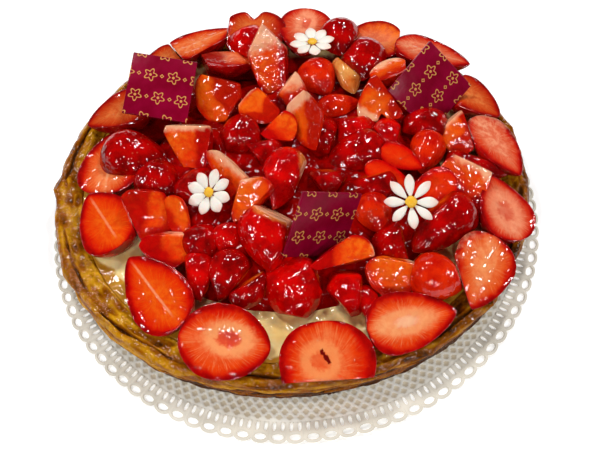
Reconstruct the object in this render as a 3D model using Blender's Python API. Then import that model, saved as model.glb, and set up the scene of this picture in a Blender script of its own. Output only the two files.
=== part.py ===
"""Strawberry puff pastry tart on its lace paper doily.

Metres, +Z up. The origin is under the middle of the doily, on the surface that it lies on, and -Y is
the front. A shallow case of puff pastry holds custard. A ring of halved strawberries lies cut side up
along its edge, and berries chopped smaller are heaped inside the ring. Three thin chocolate plaques
and three sugar daisies stand in the heap. Each piece is placed by a row of values in millimetres,
measured from the tart's own centre.
"""

import math

import bmesh
import bpy
import numpy as np
from mathutils import Matrix, Vector, noise

MM = 0.001
GAP = 0.3

# Doily: a paper disc with a scalloped edge. Each scallop is a loop, with an eyelet given by its corners
# as millimetres across and in from the edge.
DOILY_RADIUS = 130.0
DOILY_THICKNESS = 0.5
SCALLOPS = 96
SCALLOP_DEPTH = 2.4
SCALLOP_SHOULDER = 0.42
EYELET = ((-2.7, 4.9), (-1.7, 1.7), (1.7, 1.7), (2.7, 4.9))
DOILY_FLAT_RADIUS = 117.0
DOILY_OVERHANG = 18.0
DOILY_RIPPLE = 1.4

# Pastry case: a dish whose wall shows its layers, with a crevice along the top of its rim.
TART_CENTRE = (0.0, 8.5)
CRUST_RADIUS = 121.0
STRETCH = (1.03, 0.97)
CRUST_HEIGHT = 17.2
CRUST_BASE = 4.0
RIM_WIDTH = 13.0
CRUST_SEGMENTS = 72
LEDGE = 1.1
CRUST_BOTTOM = DOILY_THICKNESS + GAP

# Flakes that stand out of the top layer: heading and half width in degrees, then reach out and lift.
FLAKES = (
    (-44, 4, 3.2, 1.6),
    (-62, 5, 1.6, -1.0),
    (-97, 6, 1.2, -0.8),
    (-121, 5, 1.8, 0.8),
    (-140, 4, -1.6, -1.2),
    (-158, 6, 1.8, 0.9),
    (176, 5, 1.6, 1.0),
    (150, 5, -1.2, 0.6),
    (-20, 5, 1.8, 0.8),
    (12, 6, 1.5, 1.0),
    (70, 6, 1.6, 0.8),
)

# Custard, level with the inside of the rim.
CUSTARD_LEVEL = 16.4
CUSTARD_RADIUS = CRUST_RADIUS - RIM_WIDTH - 1.0
CUSTARD_SEGMENTS = 28

# Strawberries: sides around and rings along a whole berry, before it is cut.
BERRY_SIDES = 10
BERRY_RINGS = 6
FUSED_SIDES = 7
FUSED_RINGS = 5
BERRY_FLOOR = CUSTARD_LEVEL + 0.4 + GAP
RIM_CREST = CRUST_HEIGHT + 1.2

# The bed of smaller pieces that fills the middle of the heap.
BED_RADIUS = 84.0
BED_HEIGHT = 13.5
BED_SEGMENTS = 20
CLEARANCE = 0.6

# Trimmings.
PLAQUE_SIDE = 35.0
PLAQUE_THICKNESS = 1.8
DAISY_THICKNESS = 1.6
DAISY_PETALS = 8
STEPS_PER_PETAL = 4

# Ring pieces, cut side up: place, length, width, cut, tip heading, then the cut face's heading and lift.
RING = {
    "ring_01": ((9, -117, 21), 55, 45, "shoulder", -90, (-84, 66)),
    "ring_02": ((-38, -95, 25), 45, 37, "oval", -15, (-112, 68)),
    "ring_03": ((-71, -65, 26), 46, 32, "half", 121, (-135, 68)),
    "ring_04": ((-97, -20, 26), 40, 33, "half", 120, (-165, 72)),
    "ring_05": ((-97, 20, 26), 44, 35, "half", 85, (170, 75)),
    "ring_06": ((-92, 52, 26), 38, 30, "half", 200, (150, 80)),
    "ring_07": ((-68, 89, 26), 28, 22, "half", 210, (120, 80)),
    "ring_08": ((-46, 99, 27), 42, 28, "half", 25, (110, 75)),
    "ring_09": ((-15, 98, 27), 40, 38, "half", -95, (-90, 82)),
    "ring_10": ((15, 100, 28), 42, 32, "half", -100, (85, 84)),
    "ring_11": ((50, 91, 28), 42, 33, "half", 175, (65, 80)),
    "ring_12": ((86, 75, 27), 44, 28, "half", -24, (45, 75)),
    "ring_13": ((103, 41, 26), 38, 28, "half", -50, (25, 75)),
    "ring_14": ((110, 6, 26), 42, 28, "half", -65, (5, 72)),
    "ring_15": ((106, -33, 25), 38, 31, "half", 105, (-15, 70)),
    "ring_16": ((88, -69, 25), 42, 32, "half", -115, (-38, 68)),
    "ring_17": ((51, -92, 25), 45, 30, "half", 8, (-60, 66)),
}

# Larger pieces of the heap, with the same values. A face that points down shows the skin above it.
DOWN = (0, -90)
HEAP = {
    "heap_01": ((-82, 21, 20), 40, 30, "half", -25, DOWN),
    "heap_02": ((-51, 15, 32), 40, 29, "half", -85, (-115, 50)),
    "heap_03": ((-36, 46, 34), 36, 29, "half", -95, (-130, 43)),
    "heap_04": ((-30, 82, 30), 38, 27, "half", -15, (75, 68)),
    "heap_05": ((-4, 68, 36), 54, 31, "half", -88, (-95, 42)),
    "heap_06": ((-15, 38, 37), 25, 20, "half", 180, (-100, 58)),
    "heap_07": ((2, 48, 37), 24, 25, "half", 85, (-115, 48)),
    "heap_08": ((20, 62, 26), 25, 22, "half", -70, DOWN),
    "heap_09": ((36, 61, 28), 27, 17, "half", -80, DOWN),
    "heap_10": ((35, 91, 24), 29, 25, "half", -80, DOWN),
    "heap_11": ((46, 73, 24), 29, 27, "half", -100, DOWN),
    "heap_12": ((57, 58, 34), 27, 20, "half", 215, (120, 68)),
    "heap_13": ((50, 33, 38), 28, 25, "half", 95, (-90, 50)),
    "heap_14": ((11, 23, 40), 36, 32, "half", -100, (-155, 35)),
    "heap_15": ((-5, -9, 31), 38, 24, "half", -110, DOWN),
    "heap_16": ((-32, -8, 39), 36, 22, "slice", 120, (-140, 40)),
    "heap_17": ((-22, -26, 38), 30, 24, "half", -120, (-115, 50)),
    "heap_18": ((-13, -43, 28), 46, 29, "half", -75, DOWN),
    "heap_19": ((-74, -24, 30), 34, 30, "half", -50, (-65, 55)),
    "heap_20": ((-63, -41, 29), 30, 25, "half", 178, (-65, 60)),
    "heap_21": ((-36, -59, 22), 31, 23, "half", -125, DOWN),
    "heap_22": ((-3, -68, 18), 35, 34, "half", -95, DOWN),
    "heap_23": ((21, -60, 34), 32, 20, "half", 190, (-80, 64)),
    "heap_24": ((45, -69, 27), 25, 27, "half", -80, (-85, 55)),
    "heap_25": ((67, -70, 24), 28, 25, "whole", -15, DOWN),
    "heap_26": ((73, -40, 23), 42, 28, "half", 220, DOWN),
    "heap_27": ((91, -22, 30), 38, 28, "half", -50, (-100, 50)),
    "heap_28": ((88, 15, 30), 27, 26, "half", 80, (-120, 50)),
    "heap_29": ((72, 5, 25), 27, 19, "half", 250, DOWN),
    "heap_30": ((34, 7, 24), 36, 28, "half", 200, DOWN),
}

# Smaller or deeper pieces, which are fused to the bed.
BED = {
    "bed_01": ((-69, 2, 21), 27, 25, "half", -60, DOWN),
    "bed_02": ((-20, 97, 23), 24, 24, "half", 170, DOWN),
    "bed_03": ((-6, 23, 36), 23, 19, "half", 165, (-95, 65)),
    "bed_04": ((-27, 24, 26), 27, 26, "half", 205, DOWN),
    "bed_05": ((-12, 15, 25), 27, 23, "half", 20, DOWN),
    "bed_06": ((-34, -39, 24), 19, 18, "half", -90, DOWN),
    "bed_07": ((-48, -3, 22), 31, 25, "half", 60, DOWN),
    "bed_08": ((-59, -26, 30), 24, 15, "half", -80, (-115, 50)),
    "bed_09": ((-46, -36, 21), 26, 22, "half", 40, DOWN),
    "bed_10": ((-49, -57, 20), 30, 20, "half", -75, DOWN),
    "bed_11": ((-26, -67, 21), 27, 20, "half", -130, DOWN),
    "bed_12": ((22, -70, 20), 30, 23, "half", 100, DOWN),
    "bed_13": ((32, -79, 18), 24, 15, "half", -60, DOWN),
    "bed_14": ((46, -48, 21), 27, 25, "half", 200, DOWN),
    "bed_15": ((40, -32, 27), 23, 20, "half", -80, DOWN),
    "bed_16": ((71, -22, 33), 24, 18, "half", 190, (-100, 55)),
    "bed_17": ((97, -4, 21), 34, 19, "half", -20, DOWN),
    "bed_18": ((72, 24, 25), 29, 21, "half", 170, DOWN),
    "bed_19": ((53, 20, 25), 25, 20, "half", 90, DOWN),
    "bed_20": ((36, 23, 28), 25, 20, "half", 20, DOWN),
    "bed_21": ((19, 21, 28), 26, 20, "half", 70, DOWN),
    "bed_22": ((19, -10, 28), 22, 20, "half", 0, DOWN),
    "bed_23": ((39, -16, 27), 31, 22, "half", 180, DOWN),
    "bed_24": ((29, 40, 28), 24, 15, "half", 10, DOWN),
    "bed_25": ((-63, 59, 26), 34, 26, "half", 60, DOWN),
    "bed_26": ((68, 50, 20), 34, 26, "half", 140, DOWN),
    "bed_27": ((50, -14, 33), 28, 12, "half", -38, (-95, 58)),
    "bed_28": ((58, -1, 31), 24, 13, "half", -35, (-95, 60)),
}

# Cuts that chop a berry into a block or a wedge. Each has its heading in the plane across the knife,
# from 0 on the right through 90 at the top, and its distance from the piece's place.
KNIFE_LIFT = 56.0
KNIFE_DRAFT = 10.0
CHOPS = {
    "ring_11": ((-10, 19),),
    "heap_02": ((85, 13), (-15, 9), (-95, 12), (-155, 8)),
    "heap_03": ((175, 12), (72, 12), (-40, 10), (-95, 11)),
    "heap_04": ((85, 3), (45, 5), (-165, 14), (-115, 12)),
    "heap_05": ((-165, 12), (-5, 6), (40, 11), (150, 16)),
    "heap_06": ((40, 7), (135, 8), (180, 10)),
    "heap_07": ((140, 2), (20, 9), (-150, 5)),
    "heap_09": ((45, 5), (-170, 6)),
    "heap_12": ((110, 6), (0, 11), (-175, 9)),
    "heap_13": ((30, 7), (-90, 10), (150, 10)),
    "heap_14": ((40, 9), (-20, 9), (-165, 9), (130, 12)),
    "heap_15": ((-20, 9), (-175, 9)),
    "heap_16": ((45, 6), (-45, 10), (-155, 5)),
    "heap_17": ((160, 7), (-55, 6), (95, 12)),
    "heap_18": ((-10, 9), (60, 13)),
    "heap_19": ((80, 13), (-5, 11), (-165, 12)),
    "heap_20": ((85, 5), (-10, 9), (-60, 11)),
    "heap_21": ((-40, 7), (-165, 8)),
    "heap_22": ((15, 14), (-105, 12)),
    "heap_23": ((-80, 3), (120, 6)),
    "heap_24": ((75, 8), (-10, 10), (-170, 12)),
    "heap_26": ((125, 10), (-60, 11)),
    "heap_27": ((-20, 8), (60, 11), (-145, 10)),
    "heap_28": ((130, 5), (15, 10), (-160, 7)),
    "heap_30": ((-85, 9), (170, 15)),
    "bed_03": ((130, 3), (-100, 7)),
    "bed_04": ((-170, 9), (-60, 10)),
    "bed_05": ((95, 7), (-150, 8), (-25, 10)),
    "bed_06": ((-20, 7), (-160, 7)),
    "bed_08": ((-175, 5), (10, 6)),
    "bed_10": ((180, 7), (-25, 6)),
    "bed_11": ((115, 5), (-15, 9), (-150, 10)),
    "bed_12": ((-145, 8), (-5, 8), (85, 9)),
    "bed_13": ((-155, 5), (-15, 4)),
    "bed_14": ((10, 8), (-165, 9)),
    "bed_17": ((65, 6), (-115, 4)),
    "bed_18": ((-110, 7), (165, 10)),
    "bed_19": ((-15, 7), (-165, 7)),
    "bed_20": ((-65, 8), (170, 10), (95, 7)),
    "bed_21": ((-20, 7), (175, 8)),
    "bed_22": ((85, 6), (-35, 7), (-150, 7)),
    "bed_23": ((100, 7), (-80, 8)),
}

# Plaques: centre, the face's heading and lift, and the turn within the face.
PLAQUES = {
    "plaque_1": ((-66.7, 53.3, 40.5), (-77, 68), -25),
    "plaque_2": ((78, 39, 38), (-67, 39), 27),
    "plaque_3": ((13, -44, 40), (-61, 18), -33),
}

# Daisies: centre, width, and the face's heading and lift.
DAISIES = {
    "daisy_1": ((18.3, 83, 34), 26.0, (90, 82)),
    "daisy_2": ((-41.6, -15.8, 35.4), 25.0, (-130, 58)),
    "daisy_3": ((57.4, -34.3, 38.5), 28.5, (-80, 66)),
}


def direction(heading, lift):
    """The unit vector with this heading from +X and this lift above the level, both in degrees."""
    heading, lift = math.radians(heading), math.radians(lift)
    level = math.cos(lift)
    return Vector((level * math.cos(heading), level * math.sin(heading), math.sin(lift)))


def facing(normal, heading):
    """A turn that takes +Z to the normal and +Y as near to the level heading as it can."""
    along = direction(heading, 0)
    along = (along - normal * along.dot(normal)).normalized()
    return Matrix((along.cross(normal), along, normal)).transposed()


def placed(place, turn):
    """The matrix of a piece, from its place in the tart's own millimetres."""
    x, y, z = place
    moved = Matrix.Translation((x + TART_CENTRE[0], y + TART_CENTRE[1], z))
    return moved @ turn.to_4x4()


def wobble(angle, scale, seed):
    """A smooth closed random run round the tart, between about -1 and 1."""
    at = Vector((math.cos(angle) * scale, math.sin(angle) * scale, seed))
    return noise.noise(at) * 1.6


def material(name, colour, roughness, metallic=0.0):
    made = bpy.data.materials.new(name)
    made.use_nodes = True
    shader = made.node_tree.nodes["Principled BSDF"]
    shader.inputs["Base Color"].default_value = (*colour, 1.0)
    shader.inputs["Roughness"].default_value = roughness
    shader.inputs["Metallic"].default_value = metallic
    made.diffuse_color = (*colour, 1.0)
    return made


def finish(name, bm, finish_of, matrix=None):
    """Turns a bmesh in millimetres into an object in metres, with its origin where the matrix says."""
    matrix = matrix or Matrix.Identity(4)
    bm.transform(matrix.inverted())
    bmesh.ops.scale(bm, vec=(MM, MM, MM), verts=bm.verts)
    bmesh.ops.recalc_face_normals(bm, faces=bm.faces)
    mesh = bpy.data.meshes.new(name)
    bm.to_mesh(mesh)
    bm.free()
    mesh.materials.append(finish_of)
    mesh.shade_smooth()
    mesh.set_sharp_from_angle(angle=math.radians(35))
    made = bpy.data.objects.new(name, mesh)
    made.matrix_world = Matrix.Translation(matrix.translation * MM) @ matrix.to_3x3().to_4x4()
    bpy.context.scene.collection.objects.link(made)
    return made


def rings_to_bmesh(rings, start=None, end=None):
    """Closed rings of points joined in order, with a point or a flat face at each end."""
    bm = bmesh.new()
    loops = [[bm.verts.new(point) for point in ring] for ring in rings]
    for lower, upper in zip(loops, loops[1:]):
        for i, corner in enumerate(lower):
            j = (i + 1) % len(lower)
            bm.faces.new((corner, lower[j], upper[j], upper[i]))
    for loop, tip in ((loops[0], start), (loops[-1], end)):
        if tip is None:
            bm.faces.new(loop)
            continue
        point = bm.verts.new(tip)
        for i, corner in enumerate(loop):
            bm.faces.new((corner, loop[(i + 1) % len(loop)], point))
    bmesh.ops.recalc_face_normals(bm, faces=bm.faces)
    return bm


def turned(profile, segments):
    """Rings for a solid turned about the tart's centre. The profile gives radius and height at an angle."""
    rings = []
    for step in profile:
        ring = []
        for i in range(segments):
            angle = math.tau * i / segments
            radius, height = step(angle)
            ring.append(
                (
                    TART_CENTRE[0] + STRETCH[0] * radius * math.cos(angle),
                    TART_CENTRE[1] + STRETCH[1] * radius * math.sin(angle),
                    height,
                )
            )
        rings.append(ring)
    return rings


def cut_away(bm, point, normal):
    """Removes what lies beyond a plane on its normal's side, and closes the cut."""
    everything = bm.verts[:] + bm.edges[:] + bm.faces[:]
    bmesh.ops.bisect_plane(bm, geom=everything, dist=1e-4, plane_co=point, plane_no=normal, clear_outer=True)
    open_edges = [edge for edge in bm.edges if edge.is_boundary]
    if open_edges:
        bmesh.ops.holes_fill(bm, edges=open_edges, sides=0)


def berry_radius(along, cut):
    """Half the width of a berry at a share of its length, from the leaf end at 0 to the tip at 1."""
    if cut == "oval":
        return 0.5 * math.sin(math.pi * along**0.9) ** 0.55
    return 0.5 * math.sin(math.pi * along**0.66) ** 0.65


def berry(length, width, cut, sides, steps):
    """A strawberry with its axis along Y, its tip at +Y and its cut face up at Z = 0."""
    rings = []
    for j in range(1, steps + 1):
        along = 0.5 - 0.5 * math.cos(math.pi * j / (steps + 1))
        radius = width * berry_radius(along, cut)
        rings.append(
            [
                (
                    radius * math.cos(math.tau * (i + 0.5) / sides),
                    (along - 0.5) * length,
                    radius * math.sin(math.tau * (i + 0.5) / sides),
                )
                for i in range(sides)
            ]
        )
    bm = rings_to_bmesh(rings, (0, -length / 2, 0), (0, length / 2, 0))
    if cut != "whole":
        cut_away(bm, (0, 0, 0), (0, 0, 1))
    if cut == "slice":
        cut_away(bm, (0, 0, -0.32 * width), (0, 0, -1))
    if cut == "quarter":
        cut_away(bm, (-0.1 * width, 0, 0), (-1, 0, 0.15))
    if cut == "shoulder":
        cut_away(bm, (0, 0, 0), (0, 1, 0))
    return bm


def chop(bm, middle, cuts):
    """Cuts a piece down with a knife held as the tart is seen. The cuts lean so that it widens below."""
    knife = direction(-90, KNIFE_LIFT)
    across = Vector((1, 0, 0))
    upward = knife.cross(across)
    for heading, reach in cuts:
        heading = math.radians(heading)
        outward = across * math.cos(heading) + upward * math.sin(heading)
        leaning = outward * math.cos(math.radians(KNIFE_DRAFT)) + knife * math.sin(math.radians(KNIFE_DRAFT))
        cut_away(bm, middle + outward * reach, leaning)


def berry_at(name, row, sides=BERRY_SIDES, steps=BERRY_RINGS):
    """The cut berry of a row, in world millimetres, and the matrix that placed it."""
    place, length, width, cut, heading, face = row
    matrix = placed(place, facing(direction(*face), heading))
    bm = berry(length, width, cut, sides, steps)
    bm.transform(matrix)
    cut_away(bm, (0, 0, BERRY_FLOOR), (0, 0, -1))
    chop(bm, matrix.translation, CHOPS.get(name, ()))
    return bm, matrix


def rest_on_rim(bm, place):
    """Cuts the underside of a ring piece to lie on the rim, along a plane that rises outwards."""
    outward = Vector((place[0], place[1], 0)).normalized()
    edge = Vector((*TART_CENTRE, BERRY_FLOOR))
    for axis in (0, 1):
        edge[axis] += outward[axis] * STRETCH[axis] * (CRUST_RADIUS - RIM_WIDTH)
    slope = math.atan2(RIM_CREST - BERRY_FLOOR, RIM_WIDTH * 0.5)
    cut_away(bm, edge, outward * math.sin(slope) - Vector((0, 0, math.cos(slope))))


def sphere_directions(count):
    """Evenly spread unit vectors, along a golden spiral."""
    step = np.arange(count) + 0.5
    lift = np.arccos(1 - 2 * step / count)
    heading = math.pi * (1 + 5**0.5) * step
    return np.stack(
        [np.cos(heading) * np.sin(lift), np.sin(heading) * np.sin(lift), np.cos(lift)], axis=1
    )


SPREAD = sphere_directions(400)


def points_of(bm):
    return np.array([vert.co[:] for vert in bm.verts])


def shallowest(first, second, directions):
    """The direction from first to second in which the two overlap least, and where they end along it."""
    far = (first @ directions.T).max(axis=0)
    near = (second @ directions.T).min(axis=0)
    best = int(np.argmin(far - near))
    return directions[best], far[best], near[best]


def press_apart(pieces):
    """Flattens touching pieces against each other along the plane where they overlap least."""
    names = list(pieces)
    for i, first in enumerate(names):
        for second in names[i + 1 :]:
            normal, far, near = shallowest(points_of(pieces[first]), points_of(pieces[second]), SPREAD)
            if far - near <= -GAP:
                continue
            middle = (far + near) / 2
            normal = Vector(normal)
            cut_away(pieces[first], normal * (middle - GAP / 2), normal)
            cut_away(pieces[second], normal * (middle + GAP / 2), -normal)


def press_onto(pieces, firm, directions):
    """Flattens pieces against a firm one, which keeps its whole shape."""
    for bm in pieces.values():
        normal, far, near = shallowest(firm, points_of(bm), directions)
        if far - near <= -GAP:
            continue
        normal = Vector(normal)
        cut_away(bm, normal * (far + GAP), -normal)


def make_doily():
    """One scallop of the plate with its eyelet, copied round, then thickened."""
    half = math.pi / SCALLOPS
    shoulder = half * SCALLOP_SHOULDER
    outline = [
        (DOILY_RADIUS - SCALLOP_DEPTH, -half),
        (DOILY_RADIUS, -shoulder),
        (DOILY_RADIUS, shoulder),
        (DOILY_RADIUS - SCALLOP_DEPTH, half),
        (DOILY_FLAT_RADIUS, half),
        (DOILY_FLAT_RADIUS, -half),
    ]
    bm = bmesh.new()
    for k in range(SCALLOPS):
        turn = math.tau * k / SCALLOPS
        loop = [Vector((r * math.cos(a + turn), r * math.sin(a + turn), 0)) for r, a in outline]
        across = Vector((-math.sin(turn), math.cos(turn), 0))
        outward = Vector((math.cos(turn), math.sin(turn), 0))
        hole = [outward * (DOILY_RADIUS - inset) + across * side for side, inset in EYELET]
        loops = [[bm.verts.new(point) for point in ring] for ring in (loop, hole)]
        edges = [bm.edges.new((ring[i - 1], ring[i])) for ring in loops for i in range(len(ring))]
        bmesh.ops.triangle_fill(bm, edges=edges, use_beauty=True)
    bmesh.ops.remove_doubles(bm, verts=bm.verts, dist=1e-3)
    middle = DOILY_FLAT_RADIUS + 0.1
    inner = [e for e in bm.edges if e.is_boundary and max(v.co.length for v in e.verts) < middle]
    bmesh.ops.holes_fill(bm, edges=inner, sides=0)
    bmesh.ops.recalc_face_normals(bm, faces=bm.faces)
    if bm.faces[0].normal.z > 0:
        bmesh.ops.reverse_faces(bm, faces=bm.faces)
    lifted = bmesh.ops.extrude_face_region(bm, geom=bm.faces[:])
    for vert in lifted["geom"]:
        if isinstance(vert, bmesh.types.BMVert):
            vert.co.z += DOILY_THICKNESS
    for vert in bm.verts:
        angle = math.atan2(vert.co.y, vert.co.x)
        from_tart = vert.co.xy - Vector(TART_CENTRE)
        from_tart = Vector((from_tart.x / STRETCH[0], from_tart.y / STRETCH[1]))
        beyond = from_tart.length - CRUST_RADIUS - 1.5
        on_edge = vert.co.xy.length > middle
        share = max(0.0, beyond / DOILY_OVERHANG) if on_edge else 0.0
        vert.co.z += DOILY_RIPPLE * share * (0.5 + 0.5 * math.sin(7 * angle + wobble(angle, 1.5, 4.0)))
    return finish("paper_doily", bm, material("White lace paper", (0.86, 0.85, 0.82), 0.7))


def flaked(angle):
    """How far the top layer reaches out and lifts at an angle, where a flake stands out of it."""
    reach, lift = 0.0, 0.0
    for heading, half_width, out, up in FLAKES:
        off = (math.degrees(angle) - heading + 180) % 360 - 180
        share = max(0.0, 1 - abs(off) / half_width)
        reach += out * share
        lift += up * share
    return reach, lift


def make_crust():
    """The pastry case, turned from a profile whose ledges and top wander round the rim."""
    top = CRUST_HEIGHT

    def wall(out, height, ledge, seed):
        """A point on the outside, where each layer sticks out by its own amount."""
        return lambda a: (
            CRUST_RADIUS + out + 1.0 * wobble(a, 1.3, 0.5) + ledge * LEDGE * wobble(a, 7.0, seed),
            height + 0.5 * wobble(a, 5.0, seed + 3.0),
        )

    def lip(out, height, seed):
        """A point on the outer lip, which the flakes pull out and up."""

        def at(a):
            radius, level = wall(out, height, 0.7, seed)(a)
            reach, lift = flaked(a)
            return radius + reach, level + lift

        return at

    def rim(inward, height, lift, seed):
        """A point on top of the rim, lifted and dropped along the edge."""
        return lambda a: (
            CRUST_RADIUS - inward + 1.0 * wobble(a, 1.3, 0.5) + 0.5 * wobble(a, 6.0, seed),
            height + lift * wobble(a, 4.0, seed) + 0.5 * wobble(a, 11.0, seed + 2.0),
        )

    profile = [
        lambda a: (CRUST_RADIUS - 2.5 + 1.0 * wobble(a, 1.3, 0.5), CRUST_BOTTOM),
        wall(-0.6, 2.8, 0.5, 11.0),
        wall(0.6, 6.0, 1.0, 12.0),
        wall(-1.2, 7.4, 0.7, 13.0),
        wall(0.8, 10.2, 1.0, 14.0),
        wall(-0.8, 11.8, 0.8, 15.0),
        lip(1.0, top - 2.2, 16.0),
        rim(0.4, top - 0.4, 0.5, 21.0),
        rim(2.6, top - 0.2, 0.7, 22.0),
        rim(4.2, top - 1.9, 0.4, 23.0),
        rim(6.2, top - 0.4, 0.7, 24.0),
        rim(9.4, top - 1.2, 0.5, 25.0),
        lambda a: (CRUST_RADIUS - RIM_WIDTH, CUSTARD_LEVEL - 1.0),
        lambda a: (CRUST_RADIUS - RIM_WIDTH - 0.3, CRUST_BOTTOM + CRUST_BASE),
    ]
    bm = rings_to_bmesh(turned(profile, CRUST_SEGMENTS))
    return finish("pastry_case", bm, material("Baked puff pastry", (0.55, 0.31, 0.08), 0.45))


def make_custard():
    """A disc of custard with a slightly uneven top, standing in the case."""

    def level(share, unevenness):
        return lambda a: (
            (CUSTARD_RADIUS - 0.3) * share,
            CUSTARD_LEVEL + unevenness * wobble(a, 2.5, 31.0 + share),
        )

    bottom = CRUST_BOTTOM + CRUST_BASE + GAP
    profile = [
        lambda a: (CUSTARD_RADIUS - 0.6, bottom),
        lambda a: (CUSTARD_RADIUS - 0.3, CUSTARD_LEVEL - 1.4),
        level(0.985, 0.1),
        level(0.8, 0.25),
    ]
    bm = rings_to_bmesh(turned(profile, CUSTARD_SEGMENTS))
    return finish("custard", bm, material("Pastry cream", (0.87, 0.71, 0.40), 0.35))


def plaque_at(row):
    """A square chocolate plaque in world millimetres, and its matrix."""
    place, face, spin = row
    normal = direction(*face)
    across = direction(face[0] + 90, 0)
    turn = Matrix((across, normal.cross(across), normal)).transposed()
    matrix = placed(place, turn @ Matrix.Rotation(math.radians(spin), 3, "Z"))
    bm = bmesh.new()
    bmesh.ops.create_cube(bm, size=1.0)
    bmesh.ops.scale(bm, vec=(PLAQUE_SIDE, PLAQUE_SIDE, PLAQUE_THICKNESS), verts=bm.verts)
    bm.transform(matrix)
    return bm, matrix


def daisy_at(row):
    """A sugar daisy: petals round a raised button, cupped a little, in world millimetres."""
    place, width, face = row
    matrix = placed(place, facing(direction(*face), 90))
    count = DAISY_PETALS * STEPS_PER_PETAL
    button = 0.11 * width

    def petal_edge(angle):
        lobe = abs(math.cos(angle * DAISY_PETALS / 2)) ** 0.55
        return width * (0.2 + 0.3 * lobe)

    def ring(radius_at, height):
        return [
            (
                radius_at(math.tau * i / count) * math.cos(math.tau * i / count),
                radius_at(math.tau * i / count) * math.sin(math.tau * i / count),
                height,
            )
            for i in range(count)
        ]

    rings = [
        ring(petal_edge, 0.0),
        ring(petal_edge, 0.55 * DAISY_THICKNESS),
        ring(lambda a: button * 1.15, DAISY_THICKNESS),
        ring(lambda a: button * 0.7, DAISY_THICKNESS * 1.9),
    ]
    bm = rings_to_bmesh(rings)
    bm.transform(matrix)
    return bm, matrix


def clearance_of(name, bm):
    """A copy of a piece grown a little all round, which is cut from the bed."""
    grown = bm.copy()
    bmesh.ops.recalc_face_normals(grown, faces=grown.faces)
    grown.normal_update()
    moves = {vert: vert.normal * CLEARANCE for vert in grown.verts}
    for vert, move in moves.items():
        vert.co += move
    return finish(name, grown, CUTTER)


def keep_largest(mesh):
    """Drops loose scraps that a cut has left, and keeps the one main body."""
    bm = bmesh.new()
    bm.from_mesh(mesh)
    left = set(bm.verts)
    groups = []
    while left:
        group, edge = set(), [next(iter(left))]
        while edge:
            vert = edge.pop()
            if vert in group:
                continue
            group.add(vert)
            edge += [e.other_vert(vert) for e in vert.link_edges]
        left -= group
        groups.append(group)
    groups.sort(key=len)
    bmesh.ops.delete(bm, geom=[vert for group in groups[:-1] for vert in group], context="VERTS")
    bm.to_mesh(mesh)
    bm.free()


def join_and_cut(base, joined, cutters):
    """Applies one union and one difference to the base, then removes what they used."""
    for operation, collection in (("UNION", joined), ("DIFFERENCE", cutters)):
        step = base.modifiers.new(operation.title(), "BOOLEAN")
        step.operation = operation
        step.operand_type = "COLLECTION"
        step.collection = collection
        step.solver = "MANIFOLD"
    bpy.context.view_layer.update()
    shaped = bpy.data.meshes.new_from_object(base.evaluated_get(bpy.context.evaluated_depsgraph_get()))
    base.modifiers.clear()
    base.data = shaped
    for collection in (joined, cutters):
        for helper in list(collection.objects):
            bpy.data.objects.remove(helper)
        bpy.data.collections.remove(collection)


def gathered(name, helpers):
    """A collection that holds helpers alone, wired and left out of the render."""
    collection = bpy.data.collections.new(name)
    bpy.context.scene.collection.children.link(collection)
    for helper in helpers:
        bpy.context.scene.collection.objects.unlink(helper)
        collection.objects.link(helper)
        helper.hide_render = True
        helper.display_type = "WIRE"
    return collection


def make_bed(firm_pieces):
    """A low dome with the deeper pieces fused on, and a pocket under each piece that lies on it."""
    rings = [
        [
            (
                TART_CENTRE[0] + BED_RADIUS * share * math.cos(math.tau * i / BED_SEGMENTS),
                TART_CENTRE[1] + BED_RADIUS * share * math.sin(math.tau * i / BED_SEGMENTS),
                BERRY_FLOOR + lift * BED_HEIGHT,
            )
            for i in range(BED_SEGMENTS)
        ]
        for share, lift in ((1.0, 0.0), (0.93, 0.45), (0.7, 0.8), (0.35, 1.0))
    ]
    deep = material("Deep strawberry", (0.35, 0.01, 0.01), 0.15)
    bed = finish("strawberry_bed", rings_to_bmesh(rings), deep)
    fused = []
    for name, row in BED.items():
        bm, _ = berry_at(name, row, FUSED_SIDES, FUSED_RINGS)
        fused.append(finish(name, bm, CUTTER))
    cutters = [clearance_of(name + "_clearance", bm) for name, bm in firm_pieces.items()]
    join_and_cut(bed, gathered("fused", fused), gathered("pockets", cutters))
    keep_largest(bed.data)
    bed.data.materials.clear()
    bed.data.materials.append(deep)
    return bed


def make_food():
    """Berries, plaques and daisies, pressed together and then made into objects."""
    skin = material("Strawberry skin", (0.62, 0.02, 0.015), 0.18)
    flesh = material("Strawberry cut face", (0.85, 0.18, 0.06), 0.2)
    chocolate = material("Berry red chocolate", (0.30, 0.01, 0.07), 0.3)
    sugar = material("White sugar paste", (0.92, 0.87, 0.84), 0.5)

    berries, matrices = {}, {}
    for name, row in {**RING, **HEAP}.items():
        berries[name], matrices[name] = berry_at(name, row)
        if name in RING:
            rest_on_rim(berries[name], row[0])
    trims = {name: plaque_at(row) for name, row in PLAQUES.items()}
    for bm, matrix in trims.values():
        axes = np.array([list(sign * matrix.col[k].xyz) for k in range(3) for sign in (1, -1)])
        press_onto(berries, points_of(bm), axes)
    flowers = {name: daisy_at(row) for name, row in DAISIES.items()}
    for bm, matrix in flowers.values():
        press_onto(berries, points_of(bm), np.vstack([SPREAD, -np.array(matrix.col[2].xyz)]))
    press_apart(berries)

    trims.update(flowers)
    make_bed({**berries, **{name: bm for name, (bm, _) in trims.items()}})
    for name, bm in berries.items():
        up = (matrices[name].to_3x3() @ Vector((0, 0, 1))).z
        finish(name, bm, flesh if up > 0 else skin, matrices[name])
    for name, (bm, matrix) in trims.items():
        finish(name, bm, chocolate if name in PLAQUES else sugar, matrix)


for leftover in list(bpy.data.objects):
    bpy.data.objects.remove(leftover)
CUTTER = material("Cutter", (0.5, 0.5, 0.5), 0.5)
make_doily()
make_crust()
make_custard()
make_food()
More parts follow.
